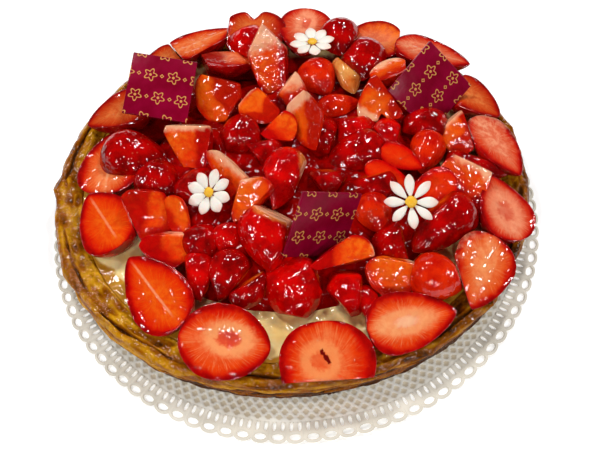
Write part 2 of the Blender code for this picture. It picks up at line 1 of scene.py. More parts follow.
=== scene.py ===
# %% [markdown]
# # A strawberry puff pastry tart
# The real tart is a shallow dish of puff pastry, filled with pastry cream and covered with cut
# strawberries. A clear gel makes them shine. It stands on a paper lace doily, with three chocolate
# plaques and three sugar daisies on top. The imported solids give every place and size. This lesson
# puts a finer piece over each of them, so the first step loads them and keeps their box.

# %% Load the frame
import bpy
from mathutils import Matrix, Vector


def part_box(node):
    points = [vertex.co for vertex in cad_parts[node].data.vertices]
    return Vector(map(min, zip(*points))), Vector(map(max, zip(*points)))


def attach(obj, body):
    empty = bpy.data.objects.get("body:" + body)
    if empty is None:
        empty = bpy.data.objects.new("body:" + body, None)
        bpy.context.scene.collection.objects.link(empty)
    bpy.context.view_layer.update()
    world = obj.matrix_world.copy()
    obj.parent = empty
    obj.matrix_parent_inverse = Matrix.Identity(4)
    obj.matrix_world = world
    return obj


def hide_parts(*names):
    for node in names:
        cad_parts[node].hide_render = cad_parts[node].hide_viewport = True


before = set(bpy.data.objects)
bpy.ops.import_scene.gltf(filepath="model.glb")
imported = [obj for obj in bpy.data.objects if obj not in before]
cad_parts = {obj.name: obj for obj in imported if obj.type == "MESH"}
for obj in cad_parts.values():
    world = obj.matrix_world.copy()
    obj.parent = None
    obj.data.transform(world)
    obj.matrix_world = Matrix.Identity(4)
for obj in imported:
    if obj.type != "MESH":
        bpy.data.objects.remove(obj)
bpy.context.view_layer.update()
print("nodes:", len(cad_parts))

# %% [markdown]
# Baked and cut food is measured in millimetres, and Blender works in metres. The helpers below keep
# the shapes in millimetres and turn them into metres only when a mesh is made. A soft random field,
# made by blending random numbers on a grid, gives the unevenness of everything that is baked or grown.

# %% Units, random fields and meshes
import itertools
import math

import bmesh
import bpy
import numpy as np
from mathutils import Matrix, Vector, geometry, noise

MM = 0.001
low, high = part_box("custard")
TART_X = (low.x + high.x) / 2 / MM
TART_Y = (low.y + high.y) / 2 / MM
# A random field holds this many numbers, and the large primes spread neighbouring cells over them.
TABLE = 4096
SPREAD = (73856093, 19349663, 83492791)


def rumple(points, size, seed):
    """Smooth random values between about -1 and 1, with bumps about one size across."""
    table = np.random.default_rng(seed).uniform(-1, 1, TABLE)
    grid = np.asarray(points, float) / size
    base = np.floor(grid).astype(np.int64)
    share = grid - base
    share = share * share * (3 - 2 * share)
    total = np.zeros(len(grid))
    for corner in itertools.product((0, 1), repeat=3):
        cell = base + corner
        key = (cell[:, 0] * SPREAD[0]) ^ (cell[:, 1] * SPREAD[1]) ^ (cell[:, 2] * SPREAD[2])
        weight = np.where(corner, share, 1 - share).prod(axis=1)
        total += weight * table[key % TABLE]
    return total


def step(values, start, end):
    """A smooth step from 0 to 1 between start and end."""
    t = np.clip((np.asarray(values, float) - start) / (end - start), 0, 1)
    return t * t * (3 - 2 * t)


def wobble(angle, scale, seed):
    """The same closed random run round the tart as its solids follow."""
    at = Vector((math.cos(angle) * scale, math.sin(angle) * scale, seed))
    return noise.noise(at) * 1.6


def make_piece(name, points, faces, finish, matrix=None, values=None):
    """A mesh object in metres from points in millimetres, with named values on its points."""
    mesh = bpy.data.meshes.new(name)
    mesh.from_pydata((np.asarray(points, float) * MM).tolist(), [], faces)
    for key, numbers in (values or {}).items():
        numbers = np.asarray(numbers, np.float32)
        kind = "FLOAT_VECTOR" if numbers.ndim == 2 else "FLOAT"
        field = mesh.attributes.new(key, kind, "POINT")
        field.data.foreach_set("vector" if numbers.ndim == 2 else "value", numbers.ravel())
    mesh.materials.append(finish)
    mesh.shade_smooth()
    mesh.validate()
    piece = bpy.data.objects.new(name, mesh)
    if matrix is not None:
        piece.matrix_world = Matrix.Translation(matrix.translation * MM) @ matrix.to_3x3().to_4x4()
    bpy.context.scene.collection.objects.link(piece)
    return piece


def settle(piece, slot, *nodes):
    """The piece stands for its nodes and rides on the one body. Its slot is not used."""
    if nodes:
        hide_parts(*nodes)
    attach(piece, "root")


def strip_faces(rows, columns, closed=True):
    """Quads over a grid of points held row by row. A closed grid joins its last column to its first."""
    faces = []
    for j in range(rows - 1):
        for i in range(columns if closed else columns - 1):
            k = (i + 1) % columns
            faces.append((j * columns + i, j * columns + k, (j + 1) * columns + k, (j + 1) * columns + i))
    return faces


def turned_solid(rings):
    """Points and faces of a closed solid from rings of points, with a flat face at each end."""
    rings = np.asarray(rings, float)
    rows, columns = rings.shape[:2]
    faces = strip_faces(rows, columns)
    faces.append(tuple(range(columns))[::-1])
    faces.append(tuple(range((rows - 1) * columns, rows * columns)))
    return rings.reshape(-1, 3), faces


print("tart centre, mm:", round(TART_X, 2), round(TART_Y, 2))

# %% [markdown]
# Finishes are built from shader nodes. A few small helpers keep that readable: one adds a node and sets
# or links its inputs, and others do a sum or mix two colours. Colours are written as they look on a
# screen, from 0 to 255, because that is how a photo is read, and are turned into the linear values that
# light needs.

# %% Helpers for finishes
def colour(red, green, blue):
    """A screen colour as a linear one with full alpha."""
    linear = []
    for level in (red, green, blue):
        share = level / 255
        linear.append(share / 12.92 if level <= 10 else ((share + 0.055) / 1.055) ** 2.4)
    return (*linear, 1.0)


def add(tree, kind, inputs=None, **settings):
    """A new node, its settings, and its inputs given as values or as sockets to link from."""
    made = tree.nodes.new(kind)
    for key, value in settings.items():
        setattr(made, key, value)
    for key, value in (inputs or {}).items():
        if isinstance(value, bpy.types.NodeSocket):
            tree.links.new(value, made.inputs[key])
        else:
            made.inputs[key].default_value = value
    return made


def sums(tree, operation, *values):
    """The output of a Math node over numbers or sockets."""
    return add(tree, "ShaderNodeMath", dict(enumerate(values)), operation=operation).outputs[0]


def times(tree, first, second):
    """The product of two numbers or sockets."""
    return sums(tree, "MULTIPLY", first, second)


def ramp(tree, value, start, end, low=0.0, high=1.0):
    """A smooth change from low to high as the value goes from start to end."""
    inputs = {"Value": value, "From Min": start, "From Max": end, "To Min": low, "To Max": high}
    return add(tree, "ShaderNodeMapRange", inputs, interpolation_type="SMOOTHSTEP").outputs[0]


def mixed(tree, share, first, second):
    """A colour between two others."""
    made = add(tree, "ShaderNodeMix", {0: share, 6: first, 7: second}, data_type="RGBA")
    return made.outputs[2]


def speckle(tree, vector, scale, detail=2.0, roughness=0.5, distortion=0.0):
    """A noise value between 0 and 1."""
    inputs = {"Vector": vector, "Scale": scale, "Detail": detail, "Roughness": roughness}
    return add(tree, "ShaderNodeTexNoise", {**inputs, "Distortion": distortion}).outputs[0]


def group(name, inputs, outputs):
    """A new node group with named sockets, and its inner input and output nodes."""
    tree = bpy.data.node_groups.new(name, "ShaderNodeTree")
    for direction, sockets in (("INPUT", inputs), ("OUTPUT", outputs)):
        for label, kind in sockets.items():
            tree.interface.new_socket(label, in_out=direction, socket_type="NodeSocket" + kind)
    return tree, tree.nodes.new("NodeGroupInput"), tree.nodes.new("NodeGroupOutput")


def use(tree, shared, inputs):
    """Places a node group in a material with its own values."""
    return add(tree, "ShaderNodeGroup", inputs, node_tree=shared)


def new_material(name, constants):
    """A material with its Principled shader and the constants set on its sockets."""
    made = bpy.data.materials.new(name)
    made.use_nodes = True
    tree = made.node_tree
    shader = tree.nodes["Principled BSDF"]
    for key, value in constants.items():
        shader.inputs[key].default_value = value
    return made, tree, shader


def carried(tree, name):
    """A value that each point of a piece carries."""
    return add(tree, "ShaderNodeAttribute", attribute_name=name).outputs["Fac"]


def object_place(tree):
    """Where a point is on its own piece, so that the pattern stays with the piece."""
    return tree.nodes.new("ShaderNodeTexCoord").outputs["Object"]


def bumped(tree, shader, height, depth, strength=1.0):
    """Links a height to the shader's normal. The depth is in metres."""
    made = add(tree, "ShaderNodeBump", {"Height": height, "Distance": depth, "Strength": strength})
    tree.links.new(made.outputs[0], shader.inputs["Normal"])


print("grey 128 as a linear value:", round(colour(128, 128, 128)[0], 3))

# %% [markdown]
# Two effects are shared by several finishes, so each is a node group. Mottle is the soft change of
# tone in anything grown or baked. Gel is the height of the clear gel that runs over fruit and cream: its
# small waves break each lamp's reflection into many short, sharp lights.

# %% Shared effects: mottle and gel
def mottle_group():
    """A soft cloudy tone from 0 to 1, with clouds about one size across."""
    tree, inner, outer = group("mottle", {"Vector": "Vector", "Size": "Float"}, {"Tone": "Float"})
    scale = sums(tree, "DIVIDE", 1.0, inner.outputs["Size"])
    coarse = speckle(tree, inner.outputs["Vector"], scale, 3.0, 0.6)
    tree.links.new(ramp(tree, coarse, 0.3, 0.7), outer.inputs["Tone"])
    return tree


def gel_group():
    """Waves a few millimetres long with finer ripples on them, as a height from 0 to 1."""
    tree, inner, outer = group("gel", {"Vector": "Vector", "Wave": "Float"}, {"Height": "Float"})
    scale = sums(tree, "DIVIDE", 1.0, inner.outputs["Wave"])
    waves = speckle(tree, inner.outputs["Vector"], scale, 0.0, 0.5, 0.5)
    fine = speckle(tree, inner.outputs["Vector"], times(tree, scale, 2.3), 0.0)
    tree.links.new(sums(tree, "MULTIPLY_ADD", fine, 0.2, waves), outer.inputs["Height"])
    return tree


MOTTLE = mottle_group()
GEL = gel_group()


def mottle(tree, place, size):
    """The mottled tone at a place, with its size in metres."""
    return use(tree, MOTTLE, {"Vector": place, "Size": size}).outputs["Tone"]


def gel_waves(tree, place, length):
    """The height of the gel at a place, with the length of its waves in metres."""
    return use(tree, GEL, {"Vector": place, "Wave": length}).outputs["Height"]


print("shared effects:", MOTTLE.name, GEL.name)

# %% [markdown]
# A strawberry is the same all round its axis, so one group can colour its whole body: skin on the
# outside, red flesh under it, then orange flesh with fine fibres, and a pale core. Each point of a berry
# carries its place across and along it, and the width of the berry there. A knife cut then shows
# the right colour wherever it goes, with a sharp line between skin and flesh.

# %% Shared effect: the inside of a strawberry
def strawberry_group():
    """Masks for the parts of a berry, from the place of a point in it."""
    inputs = {"Place": "Vector", "Rim": "Float", "Hollow": "Float", "Grain": "Vector"}
    outputs = {"Flesh": "Float", "Depth": "Float", "Core": "Float", "Halo": "Float", "Streak": "Float",
               "Fibre": "Float", "Seed": "Float", "Dimple": "Float"}
    tree, inner, outer = group("inside of a strawberry", inputs, outputs)
    split = add(tree, "ShaderNodeSeparateXYZ", {0: inner.outputs["Place"]})
    across, along, down = split.outputs
    rim = inner.outputs["Rim"]
    down_squared = times(tree, down, down)
    from_axis = sums(tree, "SQRT", sums(tree, "MULTIPLY_ADD", across, across, down_squared))
    depth = sums(tree, "SUBTRACT", rim, from_axis)
    ragged = speckle(tree, inner.outputs["Grain"], 420.0, 2.0)
    tree.links.new(depth, outer.inputs["Depth"])
    tree.links.new(ramp(tree, depth, 0.012, 0.03), outer.inputs["Flesh"])

    # The core and the pale halo round it, both with a ragged edge.
    uneven = sums(tree, "MULTIPLY_ADD", ragged, 0.9, inner.outputs["Hollow"])
    tree.links.new(ramp(tree, uneven, 0.85, 1.85, 1.0, 0.0), outer.inputs["Core"])
    around = times(tree, ramp(tree, uneven, 1.2, 1.7), ramp(tree, uneven, 2.0, 3.1, 1.0, 0.0))
    tree.links.new(around, outer.inputs["Halo"])

    # The pale line along the middle of a half, which stops short of both ends.
    thin = sums(tree, "MULTIPLY_ADD", ragged, 0.05, sums(tree, "ABSOLUTE", across))
    line = ramp(tree, thin, 0.035, 0.085, 1.0, 0.0)
    line_ends = times(tree, ramp(tree, along, 0.1, 0.25), ramp(tree, along, 0.8, 0.97, 1.0, 0.0))
    tree.links.new(times(tree, line, line_ends), outer.inputs["Streak"])

    # The fibres fan out from the middle, so their noise runs over the angle and hardly outwards.
    out_of_middle = times(tree, sums(tree, "SUBTRACT", along, 0.42), 1.5)
    fan = sums(tree, "ARCTAN2", across, out_of_middle)
    turn = times(tree, fan, 9.0)
    outwards = times(tree, from_axis, 1.2)
    fan_place = add(tree, "ShaderNodeCombineXYZ", {0: turn, 1: outwards, 2: down})
    fibres = speckle(tree, fan_place.outputs[0], 2.2, 3.0, 0.7)
    tree.links.new(ramp(tree, fibres, 0.48, 0.72), outer.inputs["Fibre"])

    # The seeds sit in dimples of the skin, one to a cell, and the gel hides some of them.
    about = sums(tree, "ARCTAN2", across, times(tree, down, -1.0))
    seed_place = add(tree, "ShaderNodeCombineXYZ",
                     {0: times(tree, about, 2.6), 1: times(tree, along, 8.5), 2: 0.0})
    scatter = {"Vector": seed_place.outputs[0], "Scale": 1.0, "Randomness": 0.7}
    cells = add(tree, "ShaderNodeTexVoronoi", scatter, voronoi_dimensions="2D")
    on_skin = ramp(tree, depth, 0.0, 0.02, 1.0, 0.0)
    seed_glints = ramp(tree, cells.outputs["Distance"], 0.06, 0.12, 1.0, 0.0)
    bare = ramp(tree, speckle(tree, inner.outputs["Grain"], 90.0), 0.42, 0.6)
    seed_glints = times(tree, seed_glints, bare)
    dimples = ramp(tree, cells.outputs["Distance"], 0.05, 0.42, 1.0, 0.0)
    tree.links.new(times(tree, seed_glints, on_skin), outer.inputs["Seed"])
    tree.links.new(times(tree, dimples, on_skin), outer.inputs["Dimple"])
    return tree


INSIDE = strawberry_group()
print("shared effect:", INSIDE.name)

# %% [markdown]
# No two strawberries are equally ripe. Each row below is one ripeness: the skin in shade and in light,
# the flesh under the skin, the flesh, its pale part and the core. The four shares say how much of the
# pale part, the core, the halo round the core and the fibres shows.

# %% Ripenesses
LOOKS = {
    "bright": ((126, 0, 1), (186, 4, 1), (206, 10, 1), (226, 52, 2), (244, 122, 22), (222, 64, 8),
               (0.34, 0.80, 0.80, 0.36)),
    "hollow": ((120, 0, 1), (184, 4, 1), (204, 12, 1), (230, 66, 8), (248, 160, 100), (216, 66, 44),
               (0.20, 0.90, 0.85, 0.50)),
    "split": ((126, 0, 1), (186, 4, 1), (206, 12, 1), (230, 62, 6), (246, 146, 84), (232, 88, 40),
              (0.46, 0.70, 0.80, 0.50)),
    "vivid": ((160, 0, 1), (218, 4, 2), (214, 8, 1), (228, 34, 2), (240, 98, 26), (240, 100, 34),
              (0.14, 0.25, 0.10, 0.25)),
    "apricot": ((126, 0, 1), (186, 4, 2), (206, 16, 3), (232, 72, 12), (248, 166, 108), (250, 190, 148),
                (0.56, 0.75, 0.60, 0.50)),
    "blush": ((190, 10, 1), (228, 44, 4), (220, 20, 2), (232, 60, 4), (244, 120, 40), (240, 100, 34),
              (0.20, 0.30, 0.10, 0.25)),
    "pink": ((116, 0, 3), (176, 6, 6), (198, 20, 8), (218, 74, 38), (244, 156, 116), (210, 80, 58),
             (0.58, 0.60, 0.50, 0.60)),
    "peach": ((116, 0, 2), (180, 8, 4), (200, 18, 2), (226, 84, 26), (246, 156, 98), (244, 160, 100),
              (0.45, 0.60, 0.30, 0.50)),
    "tan": ((112, 0, 2), (160, 8, 4), (176, 22, 4), (196, 60, 14), (226, 124, 62), (200, 78, 42),
            (0.60, 0.55, 0.40, 0.60)),
    "crimson": ((116, 0, 0), (188, 1, 1), (176, 2, 1), (196, 18, 3), (228, 84, 30), (240, 140, 80),
                (0.15, 0.30, 0.10, 0.25)),
    "amber": ((184, 16, 1), (218, 34, 2), (216, 22, 1), (234, 66, 3), (244, 124, 34), (246, 156, 70),
              (0.22, 0.35, 0.20, 0.28)),
    "unripe": ((206, 100, 30), (228, 160, 84), (224, 120, 46), (234, 156, 80), (240, 184, 116),
               (236, 190, 130), (0.60, 0.50, 0.20, 0.30)),
}
print("ripenesses:", ", ".join(LOOKS))

# %% [markdown]
# The slice at the front has a split in its core, a gap too narrow for the berry's mesh, so its darkness is
# painted shade: a short ragged bar in the cut face, drawn as a mask in the berry's own millimetres.

# %% The dark split
# The width and length of the berry, then the split's middle and direction in the cut, and half its
# width and length, all in millimetres.
SPLIT = {"look": "split", "berry": (45.0, 55.0), "middle": (0.5, -11.0), "along": (-0.51, 0.86),
         "half": (1.1, 4.2)}


def split_shade_mask(tree, place, grain):
    """1 inside the dark split and 0 outside it."""
    across, along, _ = add(tree, "ShaderNodeSeparateXYZ", {0: place}).outputs
    width, length = SPLIT["berry"]
    x = sums(tree, "MULTIPLY_ADD", across, width / 2, -SPLIT["middle"][0])
    y = sums(tree, "MULTIPLY_ADD", along, length, -0.5 * length - SPLIT["middle"][1])
    run_x, run_y = SPLIT["along"]
    aside = sums(tree, "MULTIPLY_ADD", x, run_y, times(tree, y, -run_x))
    forth = sums(tree, "MULTIPLY_ADD", x, run_x, times(tree, y, run_y))
    ragged = times(tree, sums(tree, "SUBTRACT", speckle(tree, grain, 500.0, 2.0), 0.5), 2.4)
    aside = sums(tree, "ABSOLUTE", sums(tree, "ADD", aside, ragged))
    half_width, half_length = SPLIT["half"]
    narrow = ramp(tree, aside, 0.5 * half_width, half_width, 1.0, 0.0)
    short = ramp(tree, sums(tree, "ABSOLUTE", forth), 0.8 * half_length, half_length, 1.0, 0.0)
    return times(tree, narrow, short)


print("split, mm:", 2 * SPLIT["half"][0], "by", 2 * SPLIT["half"][1])

# %% [markdown]
# The finish of a piece mixes these parts from the outside inwards. Each point also says whether its side
# of the piece is whitish, red or golden, because a chopped piece shows the middle of the berry on one
# side and its skin on the other. Gel lies over all of it in waves, with finer beads on them, and is a
# little calmer on the cut faces.

# %% Finish of a strawberry
BERRY_FINISH = {"Roughness": 0.03, "IOR": 1.46, "Subsurface Weight": 0.06, "Subsurface Scale": 0.002}
# The gel's waves, the beads on them and its depth are in metres.
GEL_WAVE = 0.0050
GEL_BEAD = 0.0016
GEL_DEPTH = 0.0008
BEAD_SHARE = 0.18
CALM_ON_FLESH = 0.9
DIMPLE_SHARE = -0.12
SEED_GLINT_SHARE = 0.22


def flesh_colour(tree, look, parts, read, tone, cloud):
    """The colour inside a berry, from the flesh under its skin to its core."""
    shade, light, under, flesh, pale, core = [colour(*numbers) for numbers in look[:6]]
    paleness, core_share, halo_share, fibre_share = look[6]
    depth = parts["Depth"]
    edge = mixed(tree, tone, shade, light)
    body = mixed(tree, ramp(tree, depth, 0.06, 0.24), edge, under)
    reddened = sums(tree, "MULTIPLY_ADD", tone, 0.2, depth)
    body = mixed(tree, ramp(tree, reddened, 0.22, 0.60), body, flesh)
    whiter = times(tree, ramp(tree, depth, 0.32, 0.88), paleness)
    whiter = times(tree, whiter, ramp(tree, cloud, 0.0, 1.0, 0.4, 1.5))
    body = mixed(tree, whiter, body, pale)
    lined = times(tree, parts["Fibre"], ramp(tree, depth, 0.16, 0.44, 0.0, fibre_share))
    body = mixed(tree, lined, body, pale)
    body = mixed(tree, times(tree, parts["Core"], core_share), body, core)
    body = mixed(tree, times(tree, parts["Halo"], halo_share), body, pale)
    streak = times(tree, parts["Streak"], read["streak"]["Fac"])
    body = mixed(tree, streak, body, colour(250, 172, 126))
    sunny = times(tree, read["gold"]["Fac"], ramp(tree, cloud, 0.0, 1.0, 0.2, 0.75))
    sunny = times(tree, sunny, ramp(tree, depth, 0.05, 0.3))
    body = mixed(tree, sunny, body, colour(248, 116, 20))
    redder = sums(tree, "MULTIPLY_ADD", sums(tree, "SUBTRACT", tone, 0.5), 0.5, read["red"]["Fac"])
    redder = times(tree, ramp(tree, redder, 0.0, 0.75), ramp(tree, read["red"]["Fac"], 0.0, 0.1))
    body = mixed(tree, times(tree, redder, 0.9), body, edge)
    return mixed(tree, ramp(tree, redder, 0.5, 1.0, 0.0, 0.45), body, colour(166, 0, 2))


def strawberry_material(name, look):
    """Skin and flesh of one ripeness, under gel."""
    made, tree, shader = new_material("strawberry " + name, BERRY_FINISH)
    read = {key: add(tree, "ShaderNodeAttribute", attribute_name="berry_" + key).outputs
            for key in ("place", "rim", "hollow", "pale", "red", "gold", "streak")}
    grain = object_place(tree)
    place = read["place"]["Vector"]
    parts = use(tree, INSIDE, {"Place": place, "Rim": read["rim"]["Fac"], "Hollow": read["hollow"]["Fac"],
                               "Grain": grain}).outputs
    tone = mottle(tree, grain, 0.009)
    cloud = mottle(tree, grain, 0.004)

    shade, light = colour(*look[0]), colour(*look[1])
    skin = mixed(tree, tone, shade, light)
    # Painted shade darkens the skin in its dimples.
    skin = mixed(tree, times(tree, parts["Dimple"], 0.2), skin, shade)
    whitish = sums(tree, "MULTIPLY_ADD", cloud, 0.3, sums(tree, "SUBTRACT", read["pale"]["Fac"], 0.15))
    whitish = ramp(tree, whitish, 0.1, 0.95)
    skin = mixed(tree, times(tree, whitish, 0.6), skin, colour(232, 150, 70))
    body = flesh_colour(tree, look, parts, read, tone, cloud)
    body = mixed(tree, times(tree, whitish, 0.75), body, colour(255, 200, 156))
    if name == SPLIT["look"]:
        # Painted shade in the split.
        body = mixed(tree, split_shade_mask(tree, place, grain), body, colour(110, 8, 4))
    whole = mixed(tree, parts["Flesh"], skin, body)
    # The seeds are painted pinkish white: partly their own colour, partly painted highlight.
    seed_glint = times(tree, parts["Seed"], SEED_GLINT_SHARE)
    tree.links.new(mixed(tree, seed_glint, whole, colour(246, 128, 96)), shader.inputs["Base Color"])

    gel = gel_waves(tree, grain, GEL_WAVE)
    beads = gel_waves(tree, grain, GEL_BEAD)
    gel = sums(tree, "MULTIPLY_ADD", beads, BEAD_SHARE, gel)
    gel = times(tree, gel, ramp(tree, parts["Flesh"], 0.0, 1.0, 1.0, CALM_ON_FLESH))
    height = sums(tree, "MULTIPLY_ADD", parts["Dimple"], DIMPLE_SHARE, gel)
    bumped(tree, shader, height, GEL_DEPTH)
    return made


STRAWBERRY = {name: strawberry_material(name, look) for name, look in LOOKS.items()}
print("strawberry finishes:", len(STRAWBERRY))

# %% [markdown]
# The other finishes are plainer. Pastry goes from golden to dark brown: each point carries painted shade,
# most where it sits deep in a crevice, and browning, and the shader darkens it there. Cream is pale in
# the middle, toasted next to the pastry, and stained red where the fruit lies over it at the back. Paper
# is matt: bright on its raised threads, with painted shade in the hollows between them, and a little
# greyer at its outer loops.

# %% Finishes of pastry, cream, paper and bed
# Where the paper turns greyer towards its loops, in metres from its middle.
LOOPS_FROM, LOOPS_WHOLE = 0.116, 0.124


def pastry_material():
    """Baked pastry under a thin glaze, with painted shade in its crevices and on one side, and uneven
    browning.
    """
    made, tree, shader = new_material("puff pastry", {"Roughness": 0.15, "IOR": 1.30})
    grain = object_place(tree)
    shade_and_browning = carried(tree, "shade_and_browning")
    broad = mottle(tree, grain, 0.012)
    small = mottle(tree, grain, 0.003)
    golden = mixed(tree, small, colour(176, 112, 2), colour(224, 162, 26))
    brown = mixed(tree, small, colour(110, 50, 0), colour(160, 88, 2))
    browned = sums(tree, "MULTIPLY_ADD", broad, 0.45, sums(tree, "MULTIPLY_ADD", small, 0.2, shade_and_browning))
    crumb = mixed(tree, ramp(tree, browned, 0.32, 0.88), golden, brown)
    crumb = mixed(tree, ramp(tree, browned, 0.95, 1.35), crumb, colour(74, 36, 4))
    tree.links.new(crumb, shader.inputs["Base Color"])
    tree.links.new(ramp(tree, small, 0.0, 1.0, 0.05, 0.18), shader.inputs["Roughness"])
    gel = gel_waves(tree, grain, 0.0030)
    bumped(tree, shader, gel, 0.0012)
    return made


def cream_material():
    """Cream that the oven has browned next to the pastry."""
    finish = {"Roughness": 0.08, "IOR": 1.38, "Subsurface Weight": 0.1, "Subsurface Scale": 0.003}
    made, tree, shader = new_material("pastry cream", finish)
    grain = object_place(tree)
    tone = mottle(tree, grain, 0.012)
    toast = carried(tree, "toast")
    plain = mixed(tree, tone, colour(254, 214, 132), colour(255, 236, 172))
    toasted = mixed(tree, tone, colour(168, 104, 14), colour(214, 158, 52))
    browned = ramp(tree, sums(tree, "MULTIPLY_ADD", tone, 0.35, toast), 0.45, 0.9)
    stain = carried(tree, "stain")
    cream = mixed(tree, browned, plain, toasted)
    tree.links.new(mixed(tree, stain, cream, colour(128, 4, 3)), shader.inputs["Base Color"])
    gel = gel_waves(tree, grain, 0.006)
    bumped(tree, shader, gel, 0.0012)
    return made


def paper_material():
    """Matt paper whose relief is also drawn in its tone, as painted shade in the hollows."""
    made, tree, shader = new_material("lace paper", {"Roughness": 0.75})
    grain = object_place(tree)
    tone = mottle(tree, grain, 0.02)
    raised = carried(tree, "raised")
    thread = mixed(tree, tone, colour(250, 244, 230), colour(255, 252, 242))
    # Painted shade: the hollows between the raised threads are darker than the threads.
    hollow = mixed(tree, tone, colour(212, 196, 168), colour(228, 215, 190))
    paper = mixed(tree, ramp(tree, raised, 0.05, 0.8), hollow, thread)
    out = add(tree, "ShaderNodeVectorMath", {0: grain}, operation="LENGTH").outputs["Value"]
    loops = mixed(tree, tone, colour(216, 208, 192), colour(232, 225, 211))
    paper = mixed(tree, ramp(tree, out, LOOPS_FROM, LOOPS_WHOLE), paper, loops)
    tree.links.new(paper, shader.inputs["Base Color"])
    bumped(tree, shader, speckle(tree, grain, 900.0, 2.0), 0.00008)
    return made


def bed_material():
    """Fruit deep in the gel, where little light comes back."""
    made, tree, shader = new_material("berries under gel", {"Roughness": 0.12, "IOR": 1.22})
    grain = object_place(tree)
    tone = mottle(tree, grain, 0.010)
    tree.links.new(mixed(tree, tone, colour(104, 0, 0), colour(168, 2, 1)), shader.inputs["Base Color"])
    gel = gel_waves(tree, grain, 0.0055)
    bumped(tree, shader, gel, 0.0010)
    return made


PASTRY, CREAM, PAPER, BED_FINISH = pastry_material(), cream_material(), paper_material(), bed_material()
print("finishes:", PASTRY.name, CREAM.name, PAPER.name, BED_FINISH.name)

# %% [markdown]
# The plaques carry a gold print: rows of outlined blossoms, each with a dot in its middle and a small
# diamond beside it. It repeats at one pitch, and every other row is shifted by half of it. The sugar
# daisies are matt, white with a rosy tip, and their middles are yellow.

# %% Finishes of chocolate and sugar
PRINT_PITCH = 12.5


def print_group():
    """A staggered print of outlined blossoms with a small diamond between them, as a mask."""
    tree, inner, outer = group("blossom print", {"Vector": "Vector"}, {"Mask": "Float"})
    split = add(tree, "ShaderNodeSeparateXYZ", {0: inner.outputs["Vector"]})
    down = sums(tree, "DIVIDE", split.outputs[1], PRINT_PITCH * MM)
    row = sums(tree, "FLOOR", down)
    across = sums(tree, "DIVIDE", split.outputs[0], PRINT_PITCH * MM)
    across = sums(tree, "ADD", across, times(tree, row, 0.5))
    x = times(tree, sums(tree, "SUBTRACT", sums(tree, "FRACT", across), 0.5), PRINT_PITCH)
    y = times(tree, sums(tree, "SUBTRACT", sums(tree, "FRACT", down), 0.5), PRINT_PITCH)
    out = sums(tree, "SQRT", sums(tree, "MULTIPLY_ADD", x, x, times(tree, y, y)))
    turn = sums(tree, "ADD", sums(tree, "ARCTAN2", y, x), row)
    petals = sums(tree, "MULTIPLY_ADD", sums(tree, "COSINE", times(tree, turn, 5.0)), 0.8, 2.7)
    outline = ramp(tree, sums(tree, "ABSOLUTE", sums(tree, "SUBTRACT", out, petals)), 0.25, 0.45, 1.0, 0.0)
    heart = ramp(tree, out, 0.6, 0.85, 1.0, 0.0)
    from_corner = sums(tree, "SUBTRACT", PRINT_PITCH / 2, sums(tree, "ABSOLUTE", x))
    far = sums(tree, "ADD", from_corner, sums(tree, "ABSOLUTE", y))
    diamond = ramp(tree, sums(tree, "ABSOLUTE", sums(tree, "SUBTRACT", far, 0.9)), 0.2, 0.4, 1.0, 0.0)
    mask = sums(tree, "MAXIMUM", sums(tree, "MAXIMUM", outline, heart), diamond)
    tree.links.new(mask, outer.inputs["Mask"])
    return tree


BLOSSOMS = print_group()


def chocolate_material():
    """Wine red chocolate with the print on it."""
    made, tree, shader = new_material("coloured chocolate", {"IOR": 1.2})
    grain = object_place(tree)
    mask = use(tree, BLOSSOMS, {"Vector": grain}).outputs["Mask"]
    tone = mottle(tree, grain, 0.015)
    body = mixed(tree, tone, colour(120, 0, 30), colour(140, 4, 46))
    printed = mixed(tree, times(tree, mask, 0.85), body, colour(222, 160, 84))
    tree.links.new(printed, shader.inputs["Base Color"])
    tree.links.new(ramp(tree, mask, 0.0, 1.0, 0.25, 0.35), shader.inputs["Roughness"])
    bumped(tree, shader, speckle(tree, grain, 160.0, 2.0), 0.00015)
    return made


def sugar_material():
    """White paste that blushes towards the tips, with a yellow middle."""
    finish = {"Roughness": 0.45, "Subsurface Weight": 0.15, "Subsurface Scale": 0.002}
    made, tree, shader = new_material("sugar paste", finish)
    grain = object_place(tree)
    blush = carried(tree, "blush")
    gold = carried(tree, "button")
    white = mixed(tree, ramp(tree, blush, 0.55, 1.1), colour(244, 236, 224), colour(242, 196, 180))
    yellow = mixed(tree, speckle(tree, grain, 1500.0), colour(236, 160, 6), colour(250, 206, 40))
    tinted = mixed(tree, ramp(tree, gold, 0.1, 0.6, 0.0, 0.35), white, colour(250, 226, 130))
    tree.links.new(mixed(tree, ramp(tree, gold, 0.6, 0.75), tinted, yellow), shader.inputs["Base Color"])
    bumped(tree, shader, speckle(tree, grain, 1200.0), 0.0001)
    return made


CHOCOLATE, SUGAR = chocolate_material(), sugar_material()
print("print pitch, mm:", PRINT_PITCH)

# %% [markdown]
# The doily is stamped paper. From the edge inwards it has a row of loops, a row of narrow slots, and a
# lattice of raised threads that runs under the tart. One scallop's share is drawn flat with its holes,
# raised where the threads run, then turned round the middle. Holes are real, because the table shows
# through them.

# %% Sizes of the doily
# All sizes are in millimetres. The lattice runs from its start to the start of the lace, and the lace
# from there to the edge.
SCALLOPS = 96
EDGE = 130.0
LACE_START = 119.2
LATTICE_START = 103.0
BASE_STEPS = 9
PAPER_THICKNESS = 0.35
THREAD = 0.45
LATTICE_LIFT = 0.6
LATTICE_PITCH = 5.6
LATTICE_TURNS = 1.5
RIPPLE = 1.4
OVERHANG = 18.0
CRUST_RADIUS = 121.0
STRETCH = (1.03, 0.97)
HALF = math.pi / SCALLOPS


